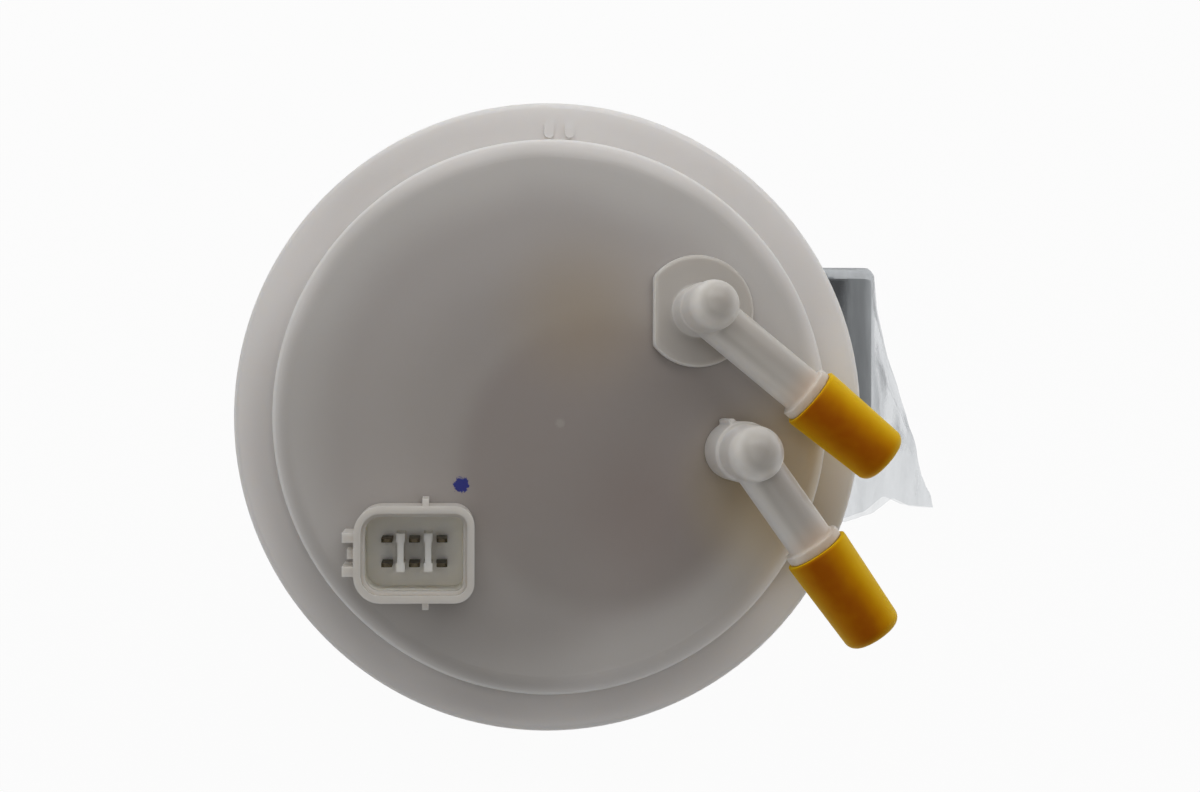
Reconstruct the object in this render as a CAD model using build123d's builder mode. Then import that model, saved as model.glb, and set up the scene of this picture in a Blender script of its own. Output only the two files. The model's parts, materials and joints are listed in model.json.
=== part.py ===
from build123d import *

# Fuel pump module: a moulded tank flange that carries a spring-loaded reservoir with
# an electric pump, its strainer and jet pump, and a level sender with its float.
# Millimetres. The origin is the centre of the flange's sealing face (the underside of
# its rim), +Z points out of the tank toward the ports, -Z down into the tank.

import os
from math import asin, atan2, cos, degrees, hypot, isclose, radians, sin, tan

# ---------------------------------------------------------------- driving dimensions

# Flange
disc_radius = 58.4
rim_width = 8.6
rim_thickness = 4.0
rim_edge_round = 1.3
disc_height = 12.0
disc_shoulder = 4.4
disc_wall = 3.0
spigot_step = 2.4
spigot_depth = 12.0
spigot_wall = 2.5
mark_width = 2.1
mark_length = 3.6
mark_height = 0.7
mark_pitch = 4.4
mark_offset = 1.9
mark_gap = 0.9
ceiling_rib_width = 1.6
ceiling_rib_length = 21.0
ceiling_rib_depth = 4.0

# Guide rods, their bosses and springs
rod_radius = 3.0
rod_circle = 40.0
rod_angle = 125.0
rod_boss_radius = 7.5
rod_boss_drop = 4.0
rod_socket_depth = 11.0
rod_below_sleeve = 4.0
clip_radius = 5.5
clip_thickness = 1.0
spring_wire = 0.6
spring_radius = 6.2
spring_turns = 11
spring_gap = 0.3

# Reservoir
cup_radius = 50.0
cup_wall = 2.0
cup_floor = 2.5
cup_bottom = -200.0
cup_height = 98.0
cup_flat = 44.0
cover_thickness = 3.0
cover_lip = 4.0
cover_slot_x = 14.0
cover_slot_y = 36.0
cover_slot_length = 16.0
cover_slot_width = 5.0
sleeve_radius = 5.5
sleeve_above = 3.0
sleeve_length = 34.0

# Electric pump
pump_x = -14.0
pump_y = -4.0
can_radius = 19.0
can_wall = 1.5
can_length = 60.0
can_above_floor = 21.5
inlet_cover_height = 8.0
inlet_cover_plug = 4.0
inlet_spigot_radius = 4.5
inlet_spigot_length = 6.0
impeller_radius = 15.4
impeller_thickness = 3.6
body_plate_thickness = 5.0
shaft_radius = 1.6
core_radius = 11.2
winding_rise = 2.5
core_length = 20.0
commutator_radius = 6.0
commutator_length = 8.0
magnet_thickness = 4.6
magnet_split = 9.0
brush_width = 4.0
outlet_cap_height = 10.0
outlet_skirt = 18.0
outlet_offset = 6.0
outlet_barb_length = 22.0
pump_socket_offset = -9.0
pump_socket_size = 9.0
pump_socket_height = 7.0

# Pump mounting and strainer
rubber_thickness = 2.4
mount_height = 13.0
mount_lip = 2.0
cradle_wall = 2.4
cradle_lip = 2.0
cradle_leg = 14.0
strainer_length = 56.0
strainer_width = 28.0
strainer_thickness = 5.6
collar_wall = 2.2

# Jet pump and umbrella valve
jet_x = 24.0
jet_y = -12.0
jet_block = 13.0
jet_block_height = 14.0
jet_barb_length = 16.0
diffuser_radius = 4.6
diffuser_length = 24.0
umbrella_x = 2.0
umbrella_y = 34.0
umbrella_radius = 8.0
umbrella_thickness = 1.2

# Hoses and wires
hose_radius = 5.0
barb_radius = 3.5
barb_bore = 2.3
return_tube_radius = 4.0
return_barb_radius = 2.9
clamp_width = 6.0
clamp_thickness = 1.0
wire_radius = 1.1
wire_pitch = 4.0
supply_hose_bends = (-62.0, -48.0)
supply_hose_high = 2.0
return_tube_bends = (-46.0, -74.0)
return_tube_high = 2.0
pump_wire_bends = (-42.0, -64.0)
sender_wire_bends = (-48.0, -72.0)
clamp_from_end = 4.0
clamp_ear_length = 4.0
clamp_ear_reach = 2.4

# Ports
supply_x = 30.05
supply_y = 22.0
supply_angle = -39.4
supply_disc_radius = 11.7
supply_disc_flat = 9.25
supply_disc_corner = 2.0
supply_disc_height = 2.6
supply_neck_radius = 5.3
supply_neck_height = 9.8
supply_dome_radius = 5.0
supply_dome_height = 21.9
supply_pipe_height = 9.0
supply_reach = 48.4
supply_collar_at = 28.3
return_x = 37.9
return_y = -7.0
return_angle = -54.6
return_boss_radius = 6.2
return_boss_height = 14.0
return_dome_radius = 5.5
return_dome_height = 23.6
return_pipe_height = 15.3
return_reach = 44.7
return_collar_at = 23.8
return_rib_angle = 112.0
pipe_radius = 4.75
nipple_radius = 4.0
bead_radius = 4.9
bead_width = 2.0
bead_from_tip = 8.0
port_collar_radius = 5.9
port_collar_width = 2.0
port_stub_drop = 18.0
port_bore = 2.5

# Vinyl caps
cap_mouth_radius = 6.6
cap_end_radius = 6.0
cap_bore = 5.2
cap_end = 1.6
cap_end_round = 2.0

# Electrical connector
plug_x = -28.5
plug_y = -27.6
shroud_length = 24.2
shroud_width = 19.4
shroud_height = 12.0
shroud_wall = 2.2
shroud_corner = 4.0
shroud_keyed_corner = 5.5
lead_in_width = 0.7
lead_in_depth = 2.0
rail_width = 2.0
rail_reach = 2.3
rail_spacing = 3.4
tooth_reach = 1.4
tooth_rise = 5.5
tooth_below_top = 2.5
key_width = 1.3
key_reach = 1.4
key_offset = 2.3
rib_width = 1.3
rib_length = 7.8
rib_end_width = 1.8
rib_below_tab = 0.5
shroud_floor = 1.6
tab_width = 2.2
tab_thickness = 0.8
tab_rise = 7.5
tab_drop = 9.0
tab_tip = 0.5
tab_column_spacing = 5.6
tab_row_spacing = 5.0
inner_plug_length = 15.0
inner_plug_width = 11.0
inner_plug_height = 15.0
inner_socket_wall = 2.2
inner_socket_bottom = -6.0
inner_plug_clear = 4.0
pump_plug_height = 10.0

# Level sender, float arm, float and its bag
pivot_x = 4.0
pivot_above_bottom = 72.0
sender_plate = 3.0
sender_left = 24.0
sender_right = 10.0
sender_up = 22.0
sender_down = 24.0
sender_card_thickness = 0.8
card_edge_margin = 2.0
card_end_margin = 5.0
card_from_pivot = 6.0
wiper_thickness = 0.4
wiper_length = 11.0
wiper_width = 3.0
wiper_leg = 1.6
hub_radius = 7.0
hub_thickness = 3.8
hub_lever_length = 20.0
hub_lever_width = 7.0
sender_terminal_inset = 8.0
sender_terminal_length = 3.0
pin_radius = 2.5
arm_swing = 70.0
stop_radius = 1.5
stop_distance = 12.0
arm_wire_radius = 1.3
arm_bend_radius = 6.0
arm_first_run = 46.0
float_x = 102.5
float_y = 17.0
float_above_bottom = 20.0
float_length = 54.0
float_width = 30.0
float_height = 18.0
float_clip_radius = 3.6
float_clip_thickness = 0.8
arm_wire_tip = 1.6
bag_gap = 0.3
bag_film = 0.8
bag_corner = 6.0
bag_knee = 2.0
bag_flare_from = 44.0
bag_flatten_from = -0.6
bag_mouth_from = -29.0
bag_mouth_left = 17.4
bag_mouth_right = 37.6
bag_mouth_height_left = 12.0
bag_mouth_height_right = 4.2
bag_mouth_corner = 2.5
bag_mouth_edge = [(-17, -7), (-12.5, -23), (0, -25.5), (6.6, -25.2), (14.9, -22.3), (21.6, -17.3), (27.3, -20), (39, -20.8)]
bag_slit_from = -1.0
bag_slit_depth = 5.0

# Clearances
fit = 0.1
run = 0.06
rest_gap = 0.2

# ---------------------------------------------------------------- places worked out

rim_radius = disc_radius + rim_width
mark_y = disc_radius + mark_gap
spigot_radius = disc_radius - spigot_step
ceiling = disc_height - disc_wall
cavity_radius = spigot_radius - spigot_wall
rod_boss_bottom = -rod_boss_drop
rod_places = [
    (rod_circle * cos(radians(angle)), rod_circle * sin(radians(angle)))
    for angle in (rod_angle, rod_angle + 180)
]
cup_inner = cup_radius - cup_wall
cup_top = cup_bottom + cup_height
cup_inside_floor = cup_bottom + cup_floor
cover_top = cup_top + cover_thickness
sleeve_top = cover_top + sleeve_above
sleeve_bottom = sleeve_top - sleeve_length
rod_bottom = sleeve_bottom - clip_thickness - rod_below_sleeve

can_bottom = cup_inside_floor + can_above_floor
can_top = can_bottom + can_length
can_inner = can_radius - can_wall
inlet_bottom = can_bottom - inlet_cover_height
chamber_floor = can_bottom + inlet_cover_plug
chamber_ceiling = chamber_floor + impeller_thickness + 2 * fit
body_plate_top = chamber_ceiling + body_plate_thickness
outlet_top = can_top + outlet_cap_height
outlet_x = pump_x + outlet_offset
pump_socket_x = pump_x + pump_socket_offset
skirt_bottom = can_top - outlet_skirt
skirt_inner = core_radius + 1.3

collar_bottom = inlet_bottom - inlet_spigot_length
strainer_top = collar_bottom - rest_gap
strainer_bottom = strainer_top - strainer_thickness
mount_inner = can_radius + fit
mount_outer = mount_inner + rubber_thickness
cradle_inner = mount_outer + fit
cradle_outer = cradle_inner + cradle_wall
mount_base = inlet_bottom - fit - mount_lip
cradle_base = mount_base - fit - cradle_lip
top_mount_top = cover_top - cover_thickness / 2
top_mount_bottom = top_mount_top - mount_height

supply_pipe_z = disc_height + supply_pipe_height
return_pipe_z = disc_height + return_pipe_height
supply_port = (supply_x, supply_y, supply_pipe_z, supply_angle, supply_reach, supply_collar_at)
return_port = (return_x, return_y, return_pipe_z, return_angle, return_reach, return_collar_at)
supply_hose_low = outlet_top + rest_gap
return_tube_low = cup_inside_floor + fit + jet_block_height + rest_gap
pump_plug_base = outlet_top + pump_socket_height + rest_gap
inner_plug_base = ceiling - inner_plug_clear - inner_plug_height
tube_inner = barb_radius + run
return_tube_inner = return_barb_radius + run

pivot_z = cup_bottom + pivot_above_bottom
float_z = cup_bottom + float_above_bottom
pad_y = -cup_flat
plate_face = pad_y - sender_plate
card_face = plate_face - sender_card_thickness
hub_back = card_face - 1.0
hub_front = hub_back - hub_thickness
pin_front = hub_front - 0.4
arm_y = hub_front + arm_wire_radius + 1.0
arm_span = hypot(float_x - pivot_x, float_z - pivot_z)
arm_u = Vector((float_x - pivot_x) / arm_span, 0, (float_z - pivot_z) / arm_span)
float_near = float_y - float_length / 2
float_far = float_y + float_length / 2
arm_wire_end = float_far + float_clip_thickness + arm_wire_tip
rest_angle = -degrees(asin((pivot_z - float_z) / arm_span))
sender_terminal_x = pivot_x - sender_left + sender_terminal_inset
sender_terminal_y = pad_y - sender_plate / 2
sender_top = pivot_z + sender_up


# ---------------------------------------------------------------- helpers

def save(builder, label):
    """Label one finished piece and write its STEP file."""
    builder.part.label = label
    export_step(builder.part, f"parts/{label}.step")


def rings(part, radius, height):
    """Circular edges of a part that lie flat at one radius and height."""
    return part.edges().filter_by(
        lambda edge: edge.geom_type == GeomType.CIRCLE
        and isclose(edge.radius, radius, abs_tol=0.01)
        and isclose(edge.center().Z, height, abs_tol=0.01)
    )


def disc(radius, bottom, top, x=0.0, y=0.0, mode=Mode.ADD):
    """A round of material, or a round hole, between two heights of the open part."""
    with BuildSketch(Plane((x, y, bottom))) as round_face:
        Circle(radius)
    extrude(round_face.sketch, amount=top - bottom, mode=mode)


def block(length, width, bottom, top, x=0.0, y=0.0, mode=Mode.ADD):
    """A rectangular block, or slot, between two heights of the open part."""
    with BuildSketch(Plane((x, y, bottom))) as slab:
        Rectangle(length, width)
    extrude(slab.sketch, amount=top - bottom, mode=mode)


def along(x, y, z, angle, start=0.0):
    """A plane across a horizontal pipe, facing along it, a distance down its axis."""
    ahead = Vector(cos(radians(angle)), sin(radians(angle)), 0)
    return Plane(Vector(x, y, z) + ahead * start, z_dir=ahead)


def bend_radii(points):
    """The largest tangent arc at each corner of a route."""
    radii = []
    for before, corner, after in zip(points, points[1:], points[2:]):
        run_in = Vector(corner) - Vector(before)
        run_out = Vector(after) - Vector(corner)
        half_turn = radians(run_in.get_angle(run_out)) / 2
        radii.append(0.45 * min(run_in.length, run_out.length) / tan(half_turn))
    return radii


def tube(points, outer, inner=0.0, radii=None):
    """A tube or rod swept along straight runs joined by tangent arcs."""
    radii = radii or bend_radii(points)
    with BuildPart() as piece:
        with BuildLine() as route:
            FilletPolyline(*points, radius=radii)
        start = Plane(points[0], z_dir=Vector(points[1]) - Vector(points[0]))
        with BuildSketch(start):
            Circle(outer)
            if inner:
                Circle(inner, mode=Mode.SUBTRACT)
        sweep(path=route.wire())
    print("bends", [round(radius, 1) for radius in radii])
    return piece


def wire_pair(points):
    """Two insulated wires side by side along one route."""
    second = [(x + wire_pitch, y, z) for x, y, z in points]
    with BuildPart() as piece:
        for line in (points, second):
            add(tube(line, wire_radius).part)
    return piece


# ---------------------------------------------------------------- flange

def make_flange_lid():
    """The moulded flange with its shroud, marks, rod bosses and inner socket."""
    outline = [
        (0, ceiling),
        (cavity_radius, ceiling),
        (cavity_radius, -spigot_depth),
        (spigot_radius, -spigot_depth),
        (spigot_radius, 0),
        (rim_radius, 0),
        (rim_radius, rim_thickness),
        (disc_radius, rim_thickness),
        (disc_radius, disc_height),
        (0, disc_height),
    ]
    shroud_top = disc_height + shroud_height
    with BuildPart() as lid:
        with BuildSketch(Plane.XZ):
            with BuildLine():
                Polyline(*outline, close=True)
            make_face()
        revolve(axis=Axis.Z)
        fillet(rings(lid.part, rim_radius, rim_thickness), rim_edge_round)
        fillet(rings(lid.part, disc_radius, disc_height), disc_shoulder)
        fillet(rings(lid.part, cavity_radius, ceiling), disc_wall / 2)

        # Two short marks on the rim that line the flange up with the tank.
        for side in (-0.5, 0.5):
            mark_x = mark_offset + side * mark_pitch
            with BuildSketch(Plane((mark_x, mark_y + mark_length / 2, rim_thickness))):
                SlotOverall(mark_length, mark_width, rotation=90)
            extrude(amount=mark_height)

        # Round bosses that hold the guide rods and seat the springs.
        for x, y in rod_places:
            disc(rod_boss_radius, rod_boss_bottom, ceiling, x, y)
            disc(rod_radius, rod_boss_bottom, rod_boss_bottom + rod_socket_depth, x, y, Mode.SUBTRACT)

        # Stiffening ribs across the ceiling, between the bosses and the wall.
        for angle in (60, 160, 205, 250, 330):
            with BuildSketch(Plane.XY.offset(ceiling - ceiling_rib_depth)):
                with PolarLocations(cavity_radius + fit - ceiling_rib_length / 2, 1, start_angle=angle):
                    Rectangle(ceiling_rib_length, ceiling_rib_width)
            extrude(amount=ceiling_rib_depth + fit)

        # Connector shroud, open at the top, with its lead-in step and floor.
        shroud_cuts = (
            (disc_height, shroud_height, 0, Mode.ADD),
            (ceiling + shroud_floor, shroud_height + disc_wall, shroud_wall, Mode.SUBTRACT),
            (shroud_top - lead_in_depth, 2 * lead_in_depth, shroud_wall - lead_in_width, Mode.SUBTRACT),
        )
        for bottom, height, inset, mode in shroud_cuts:
            with BuildSketch(Plane((plug_x, plug_y, bottom))) as outline_face:
                Rectangle(shroud_length - 2 * inset, shroud_width - 2 * inset)
                fillet(outline_face.vertices().group_by(Axis.X)[0], shroud_keyed_corner - inset)
                fillet(outline_face.vertices().group_by(Axis.X)[-1], shroud_corner - inset)
            extrude(amount=height, mode=mode)

        # Two ribs between the columns of tabs, each with thicker ends.
        rib_base = ceiling + shroud_floor - fit
        rib_top = disc_height + tab_rise - rib_below_tab
        for side in (-0.5, 0.5):
            rib_x = plug_x + side * tab_column_spacing
            block(rib_width, rib_length, rib_base, rib_top, rib_x, plug_y)
            for end in (-0.5, 0.5):
                end_y = plug_y + end * (rib_length - rib_end_width)
                block(rib_end_width, rib_end_width, rib_base, rib_top, rib_x, end_y)

        # Lock rails with a tooth between them on one side, key tabs on two others.
        rooted = shroud_wall / 2
        edge_x = plug_x - shroud_length / 2 + rooted / 2
        for side in (-1, 1):
            rail_place = (edge_x - rail_reach / 2, plug_y + side * rail_spacing)
            block(rail_reach + rooted, rail_width, disc_height - fit, shroud_top - 0.6, *rail_place)
        tooth_place = (edge_x - tooth_reach / 2, plug_y)
        tooth_foot = disc_height + tooth_rise
        block(tooth_reach + rooted, rail_width, tooth_foot, shroud_top - tooth_below_top, *tooth_place)
        for side in (-1, 1):
            key_y = plug_y + side * (shroud_width + key_reach - rooted) / 2
            block(key_width, key_reach + rooted, disc_height - fit, shroud_top - 1.0, plug_x + key_offset, key_y)

        # Inner socket under the connector, open downward.
        socket_inner = (inner_plug_length + 4 * fit, inner_plug_width + 4 * fit)
        with BuildSketch(Plane((plug_x, plug_y, inner_socket_bottom))) as socket_face:
            Rectangle(*socket_inner)
            offset(amount=inner_socket_wall, kind=Kind.ARC)
            Rectangle(*socket_inner, mode=Mode.SUBTRACT)
        extrude(socket_face.sketch, amount=ceiling - inner_socket_bottom + fit)

        # Slots for the six tabs, and the two holes for the port stubs.
        with BuildSketch(Plane((plug_x, plug_y, 0))):
            with GridLocations(tab_column_spacing, tab_row_spacing, 3, 2):
                Rectangle(tab_width, tab_thickness)
        extrude(amount=disc_height, mode=Mode.SUBTRACT)
        for x, y in ((supply_x, supply_y), (return_x, return_y)):
            disc(barb_radius + 1.0, 0, disc_height + 1, x, y, Mode.SUBTRACT)
    save(lid, "flange_lid")


def make_connector_terminals():
    """Six flat tabs that pass through the flange."""
    bottom = ceiling - tab_drop
    with BuildPart() as tabs:
        with BuildSketch(Plane((plug_x, plug_y, bottom))):
            with GridLocations(tab_column_spacing, tab_row_spacing, 3, 2):
                Rectangle(tab_width, tab_thickness)
        extrude(amount=disc_height + tab_rise - bottom)
        tips = tabs.faces().filter_by(Axis.Z).group_by(Axis.Z)[-1]
        chamfer(tips.edges().filter_by(Axis.Y), tab_tip)
    save(tabs, "connector_terminals")


def add_pipe(port):
    """The horizontal pipe of a port, its stop collar, and its nipple with a bead."""
    x, y, z, angle, reach, collar_at = port
    tip = reach - cap_end - 2 * fit
    lengths = (
        (pipe_radius, 0, collar_at),
        (port_collar_radius, collar_at - port_collar_width, port_collar_width),
        (nipple_radius, 0, tip),
        (bead_radius, tip - bead_from_tip, bead_width),
    )
    for radius, start, length in lengths:
        with BuildSketch(along(x, y, z, angle, start)) as section:
            Circle(radius)
        extrude(section.sketch, amount=length)


def bore_port(port):
    """The passage from the stub's end, round the corner and out of the nipple."""
    x, y, z, angle, reach, _ = port
    disc(barb_bore, -port_stub_drop - 1, z, x, y, Mode.SUBTRACT)
    with BuildSketch(along(x, y, z, angle)) as passage:
        Circle(port_bore)
    extrude(passage.sketch, amount=reach, mode=Mode.SUBTRACT)


def make_supply_elbow():
    """Fuel outlet: a D-shaped base disc, a stepped neck, a domed top and a pipe."""
    disc_top = disc_height + supply_disc_height
    dome_z = disc_height + supply_dome_height
    with BuildPart() as elbow:
        with BuildSketch(Plane((supply_x, supply_y, disc_height))) as base:
            Circle(supply_disc_radius)
            with Locations((-supply_disc_flat - supply_disc_radius, 0)):
                Rectangle(2 * supply_disc_radius, 3 * supply_disc_radius, mode=Mode.SUBTRACT)
            fillet(base.vertices(), supply_disc_corner)
        extrude(amount=supply_disc_height)
        chamfer(elbow.faces().sort_by(Axis.Z)[-1].edges(), 0.6)
        disc(supply_neck_radius, disc_top, disc_top + supply_neck_height, supply_x, supply_y)
        disc(supply_dome_radius, disc_top, dome_z, supply_x, supply_y)
        with Locations((supply_x, supply_y, dome_z)):
            Sphere(supply_dome_radius)
        disc(barb_radius + 1.0 - fit, ceiling, disc_height, supply_x, supply_y)
        disc(barb_radius, -port_stub_drop, ceiling, supply_x, supply_y)
        add_pipe(supply_port)
        bore_port(supply_port)
    save(elbow, "supply_elbow")


def make_return_elbow():
    """Fuel return: a round boss with a domed top that stands above the pipe."""
    dome_z = disc_height + return_dome_height
    boss_top = disc_height + return_boss_height
    with BuildPart() as elbow:
        disc(return_boss_radius, disc_height, boss_top, return_x, return_y)
        fillet(rings(elbow.part, return_boss_radius, boss_top), 0.8)
        disc(return_dome_radius, disc_height, dome_z, return_x, return_y)
        with Locations((return_x, return_y, dome_z)):
            Sphere(return_dome_radius)
        with BuildSketch(Plane((return_x, return_y, disc_height))):
            with PolarLocations(return_boss_radius + 0.2, 1, start_angle=return_rib_angle):
                Rectangle(1.6, 1.3)
        extrude(amount=return_boss_height - 1.2)
        disc(barb_radius + 1.0 - fit, ceiling, disc_height, return_x, return_y)
        disc(return_barb_radius, -port_stub_drop, ceiling, return_x, return_y)
        add_pipe(return_port)
        bore_port(return_port)
    save(elbow, "return_elbow")


def make_cap(label, port):
    """A soft vinyl cap, narrowing to its closed end, pushed over a nipple to its collar."""
    x, y, z, angle, reach, collar_at = port
    mouth = collar_at + rest_gap
    length = reach - mouth
    draft = degrees(atan2(cap_mouth_radius - cap_end_radius, length))
    with BuildPart() as cap:
        with BuildSketch(along(x, y, z, angle, mouth)):
            Circle(cap_mouth_radius)
        extrude(amount=length, taper=draft)
        closed_end = cap.edges().filter_by(GeomType.CIRCLE).sort_by(
            lambda edge: hypot(edge.center().X - x, edge.center().Y - y)
        )[-1]
        fillet(closed_end, cap_end_round)
        with BuildSketch(along(x, y, z, angle, mouth)):
            Circle(cap_bore)
        extrude(amount=length - cap_end, mode=Mode.SUBTRACT)
    save(cap, label)


def make_guide_rods():
    """Two plated steel rods pressed into the flange bosses."""
    with BuildPart() as rods:
        for x, y in rod_places:
            disc(rod_radius, rod_bottom, rod_boss_bottom + rod_socket_depth, x, y)
        chamfer(rings(rods.part, rod_radius, rod_bottom), 0.6)
    save(rods, "guide_rods")


def make_rod_clips():
    """A push-on ring near the foot of each rod that stops the reservoir."""
    top = sleeve_bottom - rest_gap
    with BuildPart() as clips:
        for x, y in rod_places:
            disc(clip_radius, top - clip_thickness, top, x, y)
            disc(rod_radius, top - clip_thickness, top, x, y, Mode.SUBTRACT)
    save(clips, "rod_clips")


def make_height_springs():
    """Round-wire compression springs between the rod bosses and the cover sleeves."""
    low = sleeve_top + spring_wire + spring_gap
    high = rod_boss_bottom - spring_wire - spring_gap
    for label, (x, y) in zip(("spring_a", "spring_b"), rod_places):
        with BuildPart() as spring:
            with BuildLine():
                coil = Helix((high - low) / spring_turns, high - low, spring_radius, center=(x, y, low))
            with BuildSketch(Plane(coil @ 0, z_dir=coil % 0)):
                Circle(spring_wire)
            sweep(path=coil)
        save(spring, label)


# ---------------------------------------------------------------- reservoir

def cup_outline(radius, flat):
    """A circle with one side cut straight."""
    Circle(radius)
    with Locations((0, -flat - radius)):
        Rectangle(3 * radius, 2 * radius, mode=Mode.SUBTRACT)


def make_reservoir_cup():
    """The fuel pot with the pump cradle and the inlet for the umbrella valve."""
    with BuildPart() as cup:
        with BuildSketch(Plane.XY.offset(cup_bottom)):
            cup_outline(cup_radius, cup_flat)
        extrude(amount=cup_height)
        with BuildSketch(Plane.XY.offset(cup_inside_floor)):
            cup_outline(cup_inner, cup_flat - cup_wall)
        extrude(amount=cup_height, mode=Mode.SUBTRACT)

        # Cradle: a ring with an inward lip on two legs, either side of the strainer.
        cradle_top = mount_base + mount_height
        for side in (-1, 1):
            leg_y = pump_y + side * (cradle_inner + cradle_outer) / 2
            block(cradle_leg, cradle_wall, cup_inside_floor - fit, cradle_top, pump_x, leg_y)
        disc(cradle_outer, cradle_base, cradle_top, pump_x, pump_y)
        disc(cradle_inner, cradle_base + cradle_lip, cradle_top, pump_x, pump_y, Mode.SUBTRACT)
        disc(can_radius - 6, cradle_base, cradle_top, pump_x, pump_y, Mode.SUBTRACT)

        # Umbrella valve seat: stem hole, four feed holes and a recess under the floor.
        disc(1.5, cup_bottom, cup_inside_floor, umbrella_x, umbrella_y, Mode.SUBTRACT)
        with BuildSketch(Plane((umbrella_x, umbrella_y, cup_bottom))):
            with PolarLocations(umbrella_radius / 2, 4):
                Circle(1.6)
        extrude(amount=cup_floor, mode=Mode.SUBTRACT)
        disc(umbrella_radius - 1, cup_bottom, cup_bottom + 1, umbrella_x, umbrella_y, Mode.SUBTRACT)

        # Jet pump feed hole through the floor.
        disc(1.2, cup_bottom, cup_inside_floor, jet_x, jet_y, Mode.SUBTRACT)
    save(cup, "reservoir_cup")


def make_reservoir_cover():
    """The cup's cover with the two rod sleeves and the pump's upper collar."""
    with BuildPart() as cover:
        with BuildSketch(Plane.XY.offset(cup_top)):
            cup_outline(cup_radius, cup_flat)
        extrude(amount=cover_thickness)
        with BuildSketch(Plane.XY.offset(cup_top - cover_lip)):
            cup_outline(cup_inner - fit, cup_flat - cup_wall - fit)
            Circle(cup_inner - fit - cup_wall, mode=Mode.SUBTRACT)
        extrude(amount=cover_lip)
        disc(cradle_outer, top_mount_bottom, cover_top, pump_x, pump_y)
        disc(cradle_inner, top_mount_bottom - fit, cover_top + fit, pump_x, pump_y, Mode.SUBTRACT)
        for x, y in rod_places:
            disc(sleeve_radius, sleeve_bottom, cover_top, x, y)
            disc(rod_boss_radius, cover_top, sleeve_top, x, y)
            disc(rod_radius + run, sleeve_bottom, sleeve_top, x, y, Mode.SUBTRACT)
        disc(return_tube_radius + 2, cup_top, cover_top, jet_x, jet_y, Mode.SUBTRACT)
        with BuildSketch(Plane.XY.offset(cup_top - cover_lip)):
            with Locations((cover_slot_x, cover_slot_y)):
                SlotOverall(cover_slot_length, cover_slot_width)
        extrude(amount=cover_lip + cover_thickness, mode=Mode.SUBTRACT)
    save(cover, "reservoir_cover")


def make_umbrella_valve():
    """The rubber inlet valve: a thin disc with a stem snapped through the floor."""
    seat = cup_inside_floor + fit
    with BuildPart() as valve:
        disc(umbrella_radius, seat, seat + umbrella_thickness, umbrella_x, umbrella_y)
        disc(1.4, cup_bottom + 0.4, seat, umbrella_x, umbrella_y)
        disc(2.2, cup_bottom + 0.2, cup_bottom + 0.9, umbrella_x, umbrella_y)
    save(valve, "umbrella_valve")


def make_jet_pump():
    """The suction jet pump: a block with a hose barb, a mixing bore and a diffuser."""
    low = cup_inside_floor + fit
    high = low + jet_block_height
    axis_z = low + jet_block_height / 2
    with BuildPart() as jet:
        block(jet_block, jet_block, low, high, jet_x, jet_y)
        fillet(jet.edges().filter_by(Axis.Z), 1.5)
        disc(return_barb_radius, high, high + jet_barb_length, jet_x, jet_y)
        with BuildSketch(along(jet_x, jet_y, axis_z, 90)):
            Circle(diffuser_radius)
        extrude(amount=jet_block / 2 + diffuser_length)
        with BuildSketch(along(jet_x, jet_y, axis_z, 90, -jet_block / 2)):
            Circle(2.5)
        extrude(amount=jet_block + diffuser_length, mode=Mode.SUBTRACT)
        disc(1.6, axis_z, high + jet_barb_length, jet_x, jet_y, Mode.SUBTRACT)
        disc(1.2, low, axis_z, jet_x, jet_y, Mode.SUBTRACT)
    save(jet, "jet_pump")

    with BuildPart() as nozzle:
        with BuildSketch(along(jet_x, jet_y, axis_z, 90, -jet_block / 2 - 1.5)):
            Circle(3.6)
        extrude(amount=1.5)
        with BuildSketch(along(jet_x, jet_y, axis_z, 90, -jet_block / 2)):
            Circle(2.4)
        extrude(amount=4)
    save(nozzle, "jet_nozzle")


# ---------------------------------------------------------------- electric pump

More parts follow.
